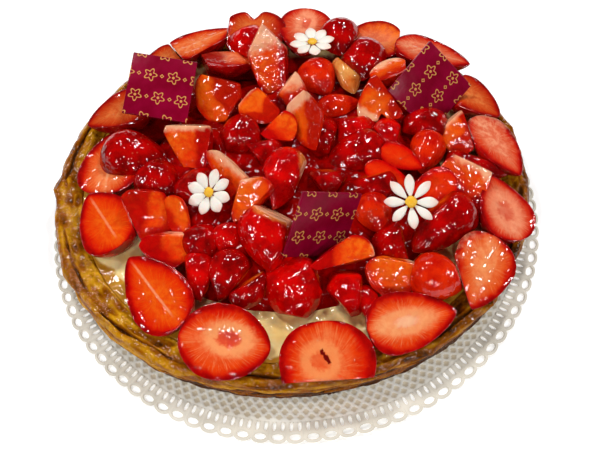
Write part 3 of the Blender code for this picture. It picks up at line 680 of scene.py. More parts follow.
def ripple(x, y):
    """How far the edge of the paper lifts, more where it sticks out further from under the tart."""
    beyond = math.hypot((x - TART_X) / STRETCH[0], (y - TART_Y) / STRETCH[1]) - CRUST_RADIUS - 1.5
    angle = math.atan2(y, x)
    share = max(0.0, beyond / OVERHANG) * step(math.hypot(x, y), 112.0, 120.0)
    return RIPPLE * share * (0.5 + 0.5 * math.sin(7 * angle + wobble(angle, 1.5, 4.0)))


def oval(across, inset, wide, deep, count, flat=1.0):
    """An outline in one scallop's share, as sideways and inward millimetres from the edge."""
    outline = []
    for i in range(count):
        turn = math.tau * (i + 0.5) / count
        squash = flat if math.sin(turn) > 0 else 1
        outline.append((across + wide * math.cos(turn), inset + deep * math.sin(turn) * squash))
    return outline


print("width of a scallop, mm:", round(2 * HALF * EDGE, 1))

# %% [markdown]
# A scallop has one wide hole, its loop, and two narrow slots behind it. A ring of points round each hole
# is raised as a thread. Triangles are spread over all these points, and those that fall in a hole or
# outside the scallop are thrown away.

# %% One scallop of lace
def scallop_pattern():
    """Points and triangles of one scallop's share of the lace, with its height above the paper."""
    arch = []
    for i in range(9):
        t = -1 + 2 * i / 8
        arch.append((t * HALF, EDGE - 2.5 * (1 - math.sqrt(max(0.0, 1 - (t * 0.97) ** 2)))))
    pitch = math.tau * EDGE / SCALLOPS
    holes = [oval(0.0, 3.3, 2.75, 1.75, 12, 0.8)]
    for side in (-0.25, 0.25):
        holes.append(oval(side * pitch * 0.93, 8.3, 0.85, 2.1, 10))
    points, heights, edges = [], [], []

    def ring(outline, height):
        """Adds a closed line of points at one height."""
        first = len(points)
        count = len(outline)
        points.extend(outline)
        heights.extend([height] * count)
        for i in range(count):
            edges.append((first + i, first + (i + 1) % count))

    border = [(r * math.sin(a), EDGE - r * math.cos(a)) for a, r in arch]
    turns = [HALF * (1 - 2 * i / BASE_STEPS) for i in range(BASE_STEPS + 1)]
    base = [(LACE_START * math.sin(t), EDGE - LACE_START * math.cos(t)) for t in turns]
    ring(border + base, 0.0)
    for hole in holes:
        ring(hole, 0.1)
        middle = np.mean(hole, axis=0)
        wider = [tuple(middle + (np.array(p) - middle) * (1 + 0.55 / np.linalg.norm(np.array(p) - middle)))
                 for p in hole]
        limit = math.tan(HALF) * EDGE * 0.9
        if all(abs(x) < limit for x, _ in wider):
            ring(wider, THREAD)
    flat, _, triangles, *_ = geometry.delaunay_2d_cdt([Vector(p) for p in points], edges, [], 0, 1e-4)
    kept = []
    outline = border + base
    for triangle in triangles:
        x = sum(flat[i].x for i in triangle) / 3
        y = sum(flat[i].y for i in triangle) / 3
        if inside(outline, x, y) and not any(inside(hole, x, y) for hole in holes):
            kept.append(triangle)
    known = np.array(points)
    lift = [heights[int(np.argmin(((known - (p.x, p.y)) ** 2).sum(axis=1)))] for p in flat]
    return [(p.x, p.y) for p in flat], kept, lift


def inside(outline, x, y):
    """Whether a point lies in a closed outline."""
    within = False
    for (x1, y1), (x2, y2) in zip(outline, outline[1:] + outline[:1]):
        if (y1 > y) != (y2 > y) and x < (x2 - x1) * (y - y1) / (y2 - y1) + x1:
            within = not within
    return within


pattern, pattern_faces, pattern_lift = scallop_pattern()
print("one scallop:", len(pattern), "points,", len(pattern_faces), "triangles")

# %% [markdown]
# The whole lace is that scallop, repeated round the middle and joined to a disc with the lattice. Each
# point of the flat sheet carries how far it is raised. The sheet then gets its thickness, and its edge
# ripples a little where it sticks out from under the tart.

# %% The whole doily
def lattice_height(radius, angle):
    """Crossed threads, as two families of slanting lines: 1 on a thread and 0 in a hollow."""
    turns = angle / math.tau * SCALLOPS * LATTICE_TURNS
    climb = (radius - LATTICE_START) / LATTICE_PITCH
    first = abs((turns + climb) % 1.0 - 0.5) * 2
    second = abs((turns - climb) % 1.0 - 0.5) * 2
    ridge = max(first, second)
    return float(step(ridge, 0.5, 0.9))


def make_doily():
    """The whole sheet of lace, with the lattice raised on it."""
    bm = bmesh.new()
    lift = bm.verts.layers.float.new("lift")
    raised = bm.verts.layers.float.new("raised")
    for k in range(SCALLOPS):
        turn = math.tau * k / SCALLOPS
        cos, sin = math.cos(turn), math.sin(turn)
        made = []
        for (side, inset), height in zip(pattern, pattern_lift):
            out = EDGE - inset
            vert = bm.verts.new((out * cos - side * sin, out * sin + side * cos, 0.0))
            vert[lift] = height
            vert[raised] = 1.0
            made.append(vert)
        for triangle in pattern_faces:
            bm.faces.new([made[i] for i in triangle])
    steps, rows = SCALLOPS * BASE_STEPS, 30
    grid = []
    for j in range(rows + 1):
        radius = LATTICE_START + (LACE_START - LATTICE_START) * j / rows
        ring = []
        for i in range(steps):
            angle = math.tau * (i + BASE_STEPS / 2) / steps
            vert = bm.verts.new((radius * math.cos(angle), radius * math.sin(angle), 0.0))
            edge = float(step(radius, LACE_START - 1.5, LACE_START))
            ridge = lattice_height(radius, angle)
            vert[lift] = LATTICE_LIFT * ridge * (1 - edge)
            vert[raised] = ridge + edge * (1 - ridge)
            ring.append(vert)
        grid.append(ring)
    for lower, upper in zip(grid, grid[1:]):
        for i in range(steps):
            j = (i + 1) % steps
            bm.faces.new((lower[i], lower[j], upper[j], upper[i]))
    bm.faces.new(grid[0])
    bmesh.ops.remove_doubles(bm, verts=bm.verts, dist=0.02)
    bmesh.ops.recalc_face_normals(bm, faces=bm.faces)
    if max(bm.faces, key=lambda f: f.calc_area()).normal.z > 0:
        bmesh.ops.reverse_faces(bm, faces=bm.faces)
    upper = bmesh.ops.extrude_face_region(bm, geom=bm.faces[:])
    for vert in upper["geom"]:
        if isinstance(vert, bmesh.types.BMVert):
            vert.co.z += PAPER_THICKNESS + vert[lift]
    for vert in bm.verts:
        vert.co.z += ripple(vert.co.x, vert.co.y)
    bmesh.ops.scale(bm, vec=(MM, MM, MM), verts=bm.verts)
    mesh = bpy.data.meshes.new("lace_doily")
    bm.verts.layers.float.remove(lift)
    bm.to_mesh(mesh)
    bm.free()
    mesh.materials.append(PAPER)
    mesh.shade_smooth()
    mesh.set_sharp_from_angle(angle=math.radians(50))
    doily = bpy.data.objects.new("lace_doily", mesh)
    bpy.context.scene.collection.objects.link(doily)
    settle(doily, "lace_paper", "paper_doily")
    return doily


doily = make_doily()
print("doily faces:", len(doily.data.polygons))

# %% [markdown]
# Puff pastry is many thin sheets. Baked, they part at the wall, so each sheet sticks out by its own
# amount, and the rim opens into an outer lip, a crevice darkened with painted shade, and a glazed inner
# band. Here and there a flake stands out of the top sheet. Painted shade darkens the front right of the
# case, and its left is browner.

# %% Sizes, flakes and browning of the case
CRUST_TOP = 17.2
CRUST_FLOOR = 0.8
RIM_WIDTH = 13.0
SHEET = 1.35
WALL_ROWS = 44
RIM_ROWS = 44
# Each flake: its heading and half its width in degrees, how far it reaches out and how far it lifts.
FLAKES = (
    (-44, 4, 3.2, 1.6), (-62, 5, 1.6, -1.0), (-97, 6, 1.2, -0.8), (-121, 5, 1.8, 0.8),
    (-140, 4, -1.6, -1.2), (-158, 6, 1.8, 0.9), (176, 5, 1.6, 1.0), (150, 5, -1.2, 0.6),
    (-20, 5, 1.8, 0.8), (12, 6, 1.5, 1.0), (70, 6, 1.6, 0.8),
)
# Each side that is darker or paler: its heading, how much darker it is, and the cosines of the angle
# from that heading where this begins and is complete. The first row is painted shade on the front right
# of the case; the second makes the front left a little paler, and the third makes the left browner.
SIDE_SHADE_AND_BROWNING = ((-38.0, 0.36, 0.55, 0.95), (-150.0, -0.08, 0.6, 0.95), (174.0, 0.20, 0.80, 0.98))


def flaked(angle):
    """How far the top sheet reaches out and lifts at an angle, where a flake stands out of it."""
    reach, lift = 0.0, 0.0
    for heading, half_width, out, up in FLAKES:
        off = (math.degrees(angle) - heading + 180) % 360 - 180
        share = max(0.0, 1 - abs(off) / half_width)
        reach += out * share
        lift += up * share
    return reach, lift


def shade_and_browning_by_side(angles):
    """How much darker the case is at each angle, from painted shade and browning."""
    side_shade_and_browning = np.zeros(len(angles))
    for heading, browner, start, end in SIDE_SHADE_AND_BROWNING:
        side_shade_and_browning = side_shade_and_browning + browner * step(np.cos(angles - math.radians(heading)), start, end)
    return side_shade_and_browning


print("flakes:", len(FLAKES))

# %% [markdown]
# The case is a turned solid whose profile is worked out at every angle, row by row: first up the wall,
# with its sheets as steps, then inwards over the rim, with its crevice, folds and blisters as real
# relief. Each row also says how dark it is painted: painted shade darkens most what lies deep, and
# browning streaks it along the sheets.

# %% Pastry case
def make_crust(columns=720):
    """The wall and rim of the case, in rows round the tart."""
    angles = np.arange(columns) * math.tau / columns
    cos, sin = np.cos(angles), np.sin(angles)
    wander = np.array([wobble(a, 1.3, 0.5) for a in angles])
    flakes = np.array([flaked(a) for a in angles])
    side_shade_and_browning = shade_and_browning_by_side(angles)
    rows, shade_and_browning = [], []

    def here(depth, seed):
        """Places to read a random field at, round the case and at one depth in it."""
        level = np.full(columns, depth + seed * 91.0)
        return np.stack([cos * CRUST_RADIUS, sin * CRUST_RADIUS, level], axis=1)

    def drawn_out(depth, seed):
        """Streaks that follow the sheets: long round the case and about a millimetre across."""
        reach = CRUST_RADIUS / 5.0
        long = np.stack([cos * reach, sin * reach, np.full(columns, depth)], axis=1)
        return rumple(long, 1.3, seed)

    def row(radius, height, brown):
        """One closed row of points, with how dark each of them is painted, from shade and browning."""
        x = TART_X + STRETCH[0] * radius * cos
        y = TART_Y + STRETCH[1] * radius * sin
        rows.append(np.stack([x, y, height], axis=1))
        shade_and_browning.append(brown + side_shade_and_browning)

    for j in range(WALL_ROWS):
        rise = j / (WALL_ROWS - 1)
        level = CRUST_FLOOR + (CRUST_TOP - 1.2 - CRUST_FLOOR) * rise
        sag = level + 1.6 * rumple(here(0, 1), 24.0, 5)
        sheet = np.floor(sag / SHEET)
        within = sag / SHEET - sheet
        spots = np.stack([cos * CRUST_RADIUS, sin * CRUST_RADIUS, sheet * 40.0], axis=1)
        out = 1.1 * rumple(spots, 10.0, 7) + 0.5 * rumple(spots, 3.5, 8)
        edge = 0.35 * np.sin(math.pi * within)
        bulge = -2.2 * (1 - rise) ** 3 + 0.4
        reach = flakes[:, 0] * step(rise, 0.75, 1.0)
        foot = 1.0 * step(rise + 0.14 * rumple(here(0, 10), 9.0, 10), 0.86, 0.3)
        height = level + flakes[:, 1] * step(rise, 0.8, 1.0) + 0.3 * rumple(here(level, 2), 7.0, 9)
        # Painted shade: the gaps between the sheets are darker than the sheets that stand out. The wall is
        # also darker towards its foot and streaked along its sheets.
        brown = 0.42 - 0.5 * out - 0.5 * edge + foot + 0.3 * drawn_out(level, 51)
        radius = CRUST_RADIUS + wander + bulge + 0.9 * out + edge + reach
        row(radius, height, np.clip(brown, 0, 1.5))
    crevice = 3.8 + 1.7 * rumple(here(0, 3), 26.0, 11) + 1.3 * rumple(here(0, 4), 8.0, 12)
    gape = np.clip(0.7 + 0.6 * rumple(here(0, 5), 9.0, 13), 0.25, 1.6)
    drop = 2.4 * step(rumple(here(0, 6), 13.0, 14), -0.5, 0.35)
    for j in range(RIM_ROWS):
        inward = 0.3 + (RIM_WIDTH - 0.5) * j / (RIM_ROWS - 1)
        spots = here(inward, 9)
        band = step(inward - crevice, 0.0, 2.0)
        drawn = np.stack([spots[:, 0] / 3.2, spots[:, 1] / 3.2, spots[:, 2]], axis=1)
        folds = 0.8 - 1.6 * np.abs(rumple(drawn, 3.4, 20))
        lumps = 1.3 * rumple(spots, 9.0, 19) + 0.45 * rumple(spots, 3.2, 18)
        blister = 0.4 * rumple(spots, 6.0, 17) + 0.75 * folds + band * lumps
        gap = np.exp(-(((inward - crevice) / gape) ** 2))
        lip = -0.9 * math.exp(-inward / 0.6)
        slope = -0.9 * step(inward, 5.0, RIM_WIDTH)
        height = CRUST_TOP - 0.1 + lip + blister - drop * gap + slope
        height = height + flakes[:, 1] * step(inward, 3.5, 0.0)
        radius = CRUST_RADIUS - inward + wander * step(inward, RIM_WIDTH, 4.0)
        radius = radius + flakes[:, 0] * step(inward, 4.0, 0.0)
        # Painted shade darkens the crevice and the hollows between the blisters; the glazed band inside
        # the crevice is lighter.
        brown = 0.75 * gap * step(drop, 0.0, 1.5) + 0.42 - 0.42 * blister - 0.2 * band
        row(radius, height, np.clip(brown + 0.3 * drawn_out(inward, 52), 0, 1.3))
    inner = CRUST_RADIUS - RIM_WIDTH
    for depth in (15.2, 12.0, CRUST_FLOOR + 4.2):
        row(np.full(columns, inner - 0.1), np.full(columns, depth), np.full(columns, 0.4))
    points, faces = turned_solid(rows)
    values = {"shade_and_browning": np.concatenate(shade_and_browning)}
    crust = make_piece("flaky_case", points, faces, PASTRY, values=values)
    settle(crust, "puff_pastry", "pastry_case")
    return crust


crust = make_crust()
print("case points:", len(crust.data.vertices))

# %% [markdown]
# The cream is poured to the level of the rim and sets with a soft, slightly wavy top. It shows only
# where the fruit leaves a gap, so it is a turned disc with gentle relief. Its points carry where the
# oven toasted it, next to the case, and where fruit juice stains it, at the back.

# %% Pastry cream
CREAM_LEVEL = 16.4
CREAM_RADIUS = CRUST_RADIUS - RIM_WIDTH - 0.15
CREAM_TOASTED = 4.5


def make_cream(columns=240):
    """The cream as a turned disc, from the foot of its side to the middle of its top."""
    angles = np.arange(columns) * math.tau / columns
    cos, sin = np.cos(angles), np.sin(angles)
    rows = []
    patches = np.stack([cos * 100, sin * 100, angles * 0], axis=1)
    reach = CREAM_TOASTED + 4.0 * rumple(patches, 16.0, 23) + 1.5 * rumple(patches, 5.0, 24)
    for share, level in [(1.0, CRUST_FLOOR + 4.6), (1.0, 10.0), (1.0, CREAM_LEVEL - 0.2)]:
        rows.append((share, np.full(columns, level)))
    for share in np.linspace(0.995, 0.1, 40):
        spots = np.stack([cos * share * 100, sin * share * 100, angles * 0], axis=1)
        level = CREAM_LEVEL - 0.05 + 0.25 * rumple(spots, 14.0, 21) + 0.1 * rumple(spots, 5.0, 22)
        rows.append((share, level))
    rings = [np.stack([TART_X + STRETCH[0] * CREAM_RADIUS * share * cos,
                       TART_Y + STRETCH[1] * CREAM_RADIUS * share * sin, level], axis=1)
             for share, level in rows]
    points, faces = turned_solid(rings)
    toast = np.concatenate([step(CREAM_RADIUS * (1 - share) - reach, 2.0, -2.0) for share, _ in rows])
    back = np.array([step(math.sin(a) + 0.25 * wobble(a, 2.0, 3.0), 0.0, 0.35) for a in angles])
    juice = 0.02 * rumple(patches, 8.0, 25)
    stain = np.concatenate([back * step(share + juice, 0.93, 0.86) for share, _ in rows])
    cream = make_piece("pastry_cream", points, faces, CREAM, values={"toast": toast, "stain": stain})
    settle(cream, "pastry_cream", "custard")
    return cream


cream = make_cream()
print("cream points:", len(cream.data.vertices))

# %% [markdown]
# Every strawberry piece starts as a whole berry, turned about its own axis. A knife cut flattens all
# that lies beyond a plane, with a slightly rounded edge. Each piece then takes the flats of its own
# solid, where a neighbour presses on it, so pieces touch and do not run through each other.

# %% Directions and places
def direction(heading, lift):
    """The unit vector with this heading from +X and this lift above the level, both in degrees."""
    heading, lift = math.radians(heading), math.radians(lift)
    level = math.cos(lift)
    return Vector((level * math.cos(heading), level * math.sin(heading), math.sin(lift)))


def facing(normal, heading):
    """A turn that takes +Z to the normal and +Y as near to the level heading as it can."""
    along = direction(heading, 0)
    along = (along - normal * along.dot(normal)).normalized()
    return Matrix((along.cross(normal), along, normal)).transposed()


def placed(place, turn):
    """A turned piece's matrix, from its place in millimetres from the middle of the tart."""
    x, y, z = place
    return Matrix.Translation((x + TART_X, y + TART_Y, z)) @ turn.to_4x4()


# The baker's knife comes down from where the tart is seen, and leans a little outwards.
KNIFE = np.array(direction(-90, 56.0))
KNIFE_DRAFT = 10.0


def in_view(heading):
    """The unit vector across the knife at a heading, from 0 on the right through 90 at the top."""
    upward = np.cross(KNIFE, (1.0, 0.0, 0.0))
    heading = math.radians(heading)
    return np.array((1.0, 0.0, 0.0)) * math.cos(heading) + upward * math.sin(heading)


print("knife:", [round(v, 3) for v in KNIFE])

# %% [markdown]
# A berry is a turned shape: rings of points from its leaf end to its tip, whose width follows one curve.
# The first cuts are the ones every baker makes: in half, in a slice, in a quarter, or the shoulder off.

# %% The shape of a berry
BERRY_FLOOR = CREAM_LEVEL + 0.7
KNIFE_EDGE = 0.55
PRESS_EDGE = 1.0
AROUND, ALONG = 60, 40


def berry_rim(along, cut):
    """Half the width of a berry at a share of its length, over half its greatest width."""
    power, bluntness = (0.9, 0.55) if cut == "oval" else (0.66, 0.65)
    return np.sin(math.pi * along**power) ** bluntness


def flatten(points, normal, reach, rounding):
    """Moves what lies beyond a plane onto it, with a rounded edge."""
    over = points @ normal - reach
    kept = (over - np.sqrt(over * over + rounding * rounding)) / 2
    return points + np.outer(kept - over, normal)


def knife_cuts(width, cut):
    """The planes of a cut, each as its normal and its reach in the berry's own millimetres."""
    slant = np.array([-1.0, 0.0, 0.15]) / math.hypot(1.0, 0.15)
    planes = [] if cut == "whole" else [(np.array([0.0, 0.0, 1.0]), 0.0)]
    if cut == "slice":
        planes.append((np.array([0.0, 0.0, -1.0]), 0.32 * width))
    if cut == "quarter":
        planes.append((slant, float(slant @ (-0.1 * width, 0.0, 0.0))))
    if cut == "shoulder":
        planes.append((np.array([0.0, 1.0, 0.0]), 0.0))
    return planes


def berry_points(length, width, cut):
    """Points of a whole berry, slightly uneven, as rings from its leaf end to its tip."""
    shares = 0.5 - 0.5 * np.cos(math.pi * np.arange(1, ALONG + 1) / (ALONG + 1))
    turns = math.tau * np.arange(AROUND) / AROUND
    rim = np.repeat(berry_rim(shares, cut), AROUND)
    along = np.repeat(shares, AROUND)
    turn = np.tile(turns, ALONG)
    half = width / 2
    across, down = half * rim * np.cos(turn), half * rim * np.sin(turn)
    points = np.stack([across, (along - 0.5) * length, down], axis=1)
    ends = np.array([[0, -length / 2, 0], [0, length / 2, 0]])
    points = np.concatenate([points, ends])
    along = np.concatenate([along, [0.0, 1.0]])
    rim = np.concatenate([rim, [0.0, 0.0]])
    return points, along, rim


def berry_faces():
    """Quads between the rings, and a fan of triangles at each end."""
    faces = strip_faces(ALONG, AROUND)
    start, tip = ALONG * AROUND, ALONG * AROUND + 1
    last = (ALONG - 1) * AROUND
    for i in range(AROUND):
        k = (i + 1) % AROUND
        faces.append((start, k, i))
        faces.append((tip, last + i, last + k))
    return faces


BERRY_FACES = berry_faces()


def planes_of(node):
    """The planes of a solid's faces, in world millimetres, each as its normal and its reach."""
    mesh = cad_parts[node].data
    found = {}
    for face in mesh.polygons:
        normal = np.array(face.normal)
        reach = float(normal @ np.array(mesh.vertices[face.vertices[0]].co)) / MM
        found[tuple(np.round(normal, 2)), round(reach, 1)] = (normal, reach)
    return list(found.values())


print("points in a berry:", ALONG * AROUND + 2)

# %% [markdown]
# Most pieces in the heap are chopped further, with flat sides and sharp corners. Each row lists the cuts
# of one piece as the tart is seen: the heading of the side that falls away, from 0 on the right through
# 90 at the top, and its distance from the middle of the piece in millimetres.

# %% The knife's cuts on the chopped pieces
CHOPS = {
    "ring_11": ((-10, 19),),
    "heap_02": ((85, 13), (-15, 9), (-95, 12), (-155, 8)),
    "heap_03": ((175, 12), (72, 12), (-40, 10), (-95, 11)),
    "heap_04": ((85, 3), (45, 5), (-165, 14), (-115, 12)),
    "heap_05": ((-165, 12), (-5, 6), (40, 11), (150, 16)),
    "heap_06": ((40, 7), (135, 8), (180, 10)),
    "heap_07": ((140, 2), (20, 9), (-150, 5)),
    "heap_09": ((45, 5), (-170, 6)),
    "heap_12": ((110, 6), (0, 11), (-175, 9)),
    "heap_13": ((30, 7), (-90, 10), (150, 10)),
    "heap_14": ((40, 9), (-20, 9), (-165, 9), (130, 12)),
    "heap_15": ((-20, 9), (-175, 9)),
    "heap_16": ((45, 6), (-45, 10), (-155, 5)),
    "heap_17": ((160, 7), (-55, 6), (95, 12)),
    "heap_18": ((-10, 9), (60, 13)),
    "heap_19": ((80, 13), (-5, 11), (-165, 12)),
    "heap_20": ((85, 5), (-10, 9), (-60, 11)),
    "heap_21": ((-40, 7), (-165, 8)),
    "heap_22": ((15, 14), (-105, 12)),
    "heap_23": ((-80, 3), (120, 6)),
    "heap_24": ((75, 8), (-10, 10), (-170, 12)),
    "heap_26": ((125, 10), (-60, 11)),
    "heap_27": ((-20, 8), (60, 11), (-145, 10)),
    "heap_28": ((130, 5), (15, 10), (-160, 7)),
    "heap_30": ((-85, 9), (170, 15)),
    "bed_03": ((130, 3), (-100, 7)),
    "bed_04": ((-170, 9), (-60, 10)),
    "bed_05": ((95, 7), (-150, 8), (-25, 10)),
    "bed_06": ((-20, 7), (-160, 7)),
    "bed_08": ((-175, 5), (10, 6)),
    "bed_10": ((180, 7), (-25, 6)),
    "bed_11": ((115, 5), (-15, 9), (-150, 10)),
    "bed_12": ((-145, 8), (-5, 8), (85, 9)),
    "bed_13": ((-155, 5), (-15, 4)),
    "bed_14": ((10, 8), (-165, 9)),
    "bed_17": ((65, 6), (-115, 4)),
    "bed_18": ((-110, 7), (165, 10)),
    "bed_19": ((-15, 7), (-165, 7)),
    "bed_20": ((-65, 8), (170, 10), (95, 7)),
    "bed_21": ((-20, 7), (175, 8)),
    "bed_22": ((85, 6), (-35, 7), (-150, 7)),
    "bed_23": ((100, 7), (-80, 8)),
}


def chopped(world, middle, cuts):
    """Cuts a piece down with a knife held as the tart is seen. The cuts lean so that it widens below."""
    lean = math.radians(KNIFE_DRAFT)
    for heading, reach in cuts:
        outward = in_view(heading)
        normal = outward * math.cos(lean) + KNIFE * math.sin(lean)
        world = flatten(world, normal, float(normal @ (middle + outward * reach)), KNIFE_EDGE)
    return world


print("chopped pieces:", len(CHOPS))

# %% [markdown]
# One function makes every piece of fruit. It cuts the berry, gives its cut face a fine relief, a notch
# or a pit, puts it in its place and presses it flat on its neighbours. The colours need the place that
# each point had in the whole berry, so that is kept as values on the points, with the whitish, red and
# golden sides of the piece.

# %% One piece of strawberry
# A chopped piece is red on the side across from its pale one, which is up and to the right if no row
# says otherwise. The hollow is how far a point is from the core, over the core's size.
PALE_SIDE = 35
FAR_FROM_CORE = 9.0


def make_berry(name, row, node=None, seed=0):
    """One piece of strawberry, placed by its row and pressed flat where its solid is."""
    place, length, width, cut, heading, face, look = row[:7]
    relief = row[7] if len(row) > 7 else {}
    matrix = placed(place, facing(direction(*face), heading))
    turn = np.array(matrix.to_3x3())
    shift = np.array(matrix.translation)
    points, along, rim = berry_points(length, width, cut)
    uneven = points + seed * 37.0
    swell = 1 + 0.045 * rumple(uneven, 14.0, 31) + 0.018 * rumple(uneven, 5.0, 32)
    points = points * np.stack([swell, swell * 0 + 1, swell], axis=1)
    dip = np.zeros(len(points))
    if "notch" in relief:
        wide, deep = relief["notch"]
        dip = deep * np.exp(-((points[:, 0] / wide) ** 2)) * step(along, 0.45, 0.0)
        points[:, 1] += dip
    for normal, reach in knife_cuts(width, cut):
        points = flatten(points, normal, reach, KNIFE_EDGE)
    cuts = CHOPS.get(name.removesuffix("_fruit"), ())
    points = (chopped(points @ turn.T + shift, shift, cuts) - shift) @ turn
    now = (points[:, 1] - dip) / length + 0.5
    ripe = np.stack([points[:, 0] / (width / 2), now, points[:, 2] / (width / 2)], axis=1)
    rim_here = berry_rim(np.clip(now, 0.0, 1.0), cut) * swell
    on_cut = step(rim_here - np.hypot(ripe[:, 0], ripe[:, 2]), 0.03, 0.12)
    points[:, 2] += on_cut * (0.35 * rumple(uneven, 9.0, 33) + 0.12 * rumple(uneven, 3.0, 34))
    hollow = np.full(len(points), FAR_FROM_CORE)
    if "core" in relief:
        x, y, wide, long = relief["core"]
        hollow = np.hypot((points[:, 0] - x) / wide, (points[:, 1] - y) / long)
    if "pit" in relief:
        x, y, wide, long, deep = relief["pit"]
        spot = ((points[:, 0] - x) / wide) ** 2 + ((points[:, 1] - y) / long) ** 2
        points[:, 2] -= deep * np.exp(-spot) * on_cut
    world = points @ turn.T + shift
    planes = planes_of(node) if node else [(np.array([0.0, 0.0, -1.0]), -BERRY_FLOOR)]
    limit = 0.06 * width + 0.4 if node else 0.0
    for normal, reach in planes:
        if (world @ normal).max() - reach > limit:
            world = flatten(world, normal, reach + 0.1, PRESS_EDGE)
    pale = np.zeros(len(points))
    for side, start, end in relief.get("pale", ()):
        beyond = (world - shift) @ in_view(side) + 1.2 * rumple(uneven, 5.0, 35)
        pale = np.maximum(pale, step(beyond, start, end))
    red, gold = np.zeros(len(points)), np.zeros(len(points))
    red_sides = relief.get("red", ())
    if cuts and not red_sides:
        pale_side = relief["pale"][0][0] if "pale" in relief else PALE_SIDE
        red_sides = ((pale_side + 180, -0.12 * width, 0.40 * width),)
    for side, start, end in red_sides:
        beyond = (world - shift) @ in_view(side) + 1.5 * rumple(uneven, 7.0, 36)
        red = np.maximum(red, step(beyond, start, end))
        gold = np.maximum(gold, step(-beyond, -0.15 * width, 0.40 * width))
    points = (world - shift) @ turn
    line = np.full(len(points), relief.get("streak", 0.0))
    values = {"berry_place": ripe, "berry_rim": rim_here, "berry_hollow": hollow, "berry_pale": pale,
              "berry_red": red, "berry_gold": gold, "berry_streak": line}
    piece = make_piece(name, points, BERRY_FACES, STRAWBERRY[look], matrix, values)
    slot = "strawberry_cut" if face[1] > 0 else "strawberry_skin"
    settle(piece, slot if node else "strawberry_deep", *([node] if node else []))


# %% [markdown]
# The halves in the ring lie cut side up along the rim, leaf end and tip as the baker dropped them.
# Each row gives the piece's place from the tart's centre, its length, width and cut, the heading of its
# tip, the heading and lift of its cut face, and how ripe it is. What is special to a piece follows: a
# pale line along it, a notch, its core or a pit, or a pale or red side, which has its heading in view
# and the distances from the middle where it begins and is complete.

# %% The ring of halves
RING = {
    "ring_01": ((9, -117, 21), 55, 45, "shoulder", -90, (-84, 66), "split",
                {"core": (3.0, -9.0, 4.5, 4.5)}),
    "ring_02": ((-38, -95, 25), 45, 37, "oval", -15, (-112, 68), "hollow",
                {"core": (-2.0, 2.0, 4.0, 6.0), "pit": (-2.0, 2.0, 4.0, 6.0, 2.4)}),
    "ring_03": ((-71, -65, 26), 46, 32, "half", 121, (-135, 68), "bright", {"streak": 0.5}),
    "ring_04": ((-97, -20, 26), 40, 33, "half", 120, (-165, 72), "bright", {"streak": 0.4}),
    "ring_05": ((-97, 20, 26), 44, 35, "half", 85, (170, 75), "peach", {"streak": 0.6}),
    "ring_06": ((-92, 52, 26), 38, 30, "half", 200, (150, 80), "tan"),
    "ring_07": ((-68, 89, 26), 28, 22, "half", 210, (120, 80), "tan"),
    "ring_08": ((-46, 99, 27), 42, 28, "half", 25, (110, 75), "peach", {"streak": 0.3}),
    "ring_09": ((-15, 98, 27), 40, 38, "half", -95, (-90, 82), "tan", {"notch": (3.5, 6.0)}),
    "ring_10": ((15, 100, 28), 42, 32, "half", -100, (85, 84), "pink",
                {"core": (0.0, -8.0, 3.0, 5.0), "pit": (0.0, -8.0, 4.0, 6.0, 1.8)}),
    "ring_11": ((50, 91, 28), 42, 33, "half", 175, (65, 80), "pink"),
    "ring_12": ((86, 75, 27), 44, 28, "half", -24, (45, 75), "pink", {"streak": 0.3}),
    "ring_13": ((103, 41, 26), 38, 28, "half", -50, (25, 75), "tan"),
    "ring_14": ((110, 6, 26), 42, 28, "half", -65, (5, 72), "pink", {"pale": ((75, -8, 44),)}),
    "ring_15": ((106, -33, 25), 38, 31, "half", 105, (-15, 70), "pink",
                {"core": (0.0, -2.0, 4.5, 6.0), "pit": (0.0, -2.0, 4.0, 6.0, 1.0)}),
    "ring_16": ((88, -69, 25), 42, 32, "half", -115, (-38, 68), "peach",
                {"core": (0.0, -4.0, 2.5, 6.0), "pale": ((110, -6, 60),)}),
    "ring_17": ((51, -92, 25), 45, 30, "half", 8, (-60, 66), "apricot",
                {"core": (0.0, -3.0, 3.0, 7.0)}),
}
for number, (node, row) in enumerate(RING.items()):
    make_berry(node + "_fruit", row, node, number)
print("ring pieces:", len(RING))

# %% [markdown]
# Inside the ring the fruit is heaped anyhow. A piece whose face points down shows its skin.

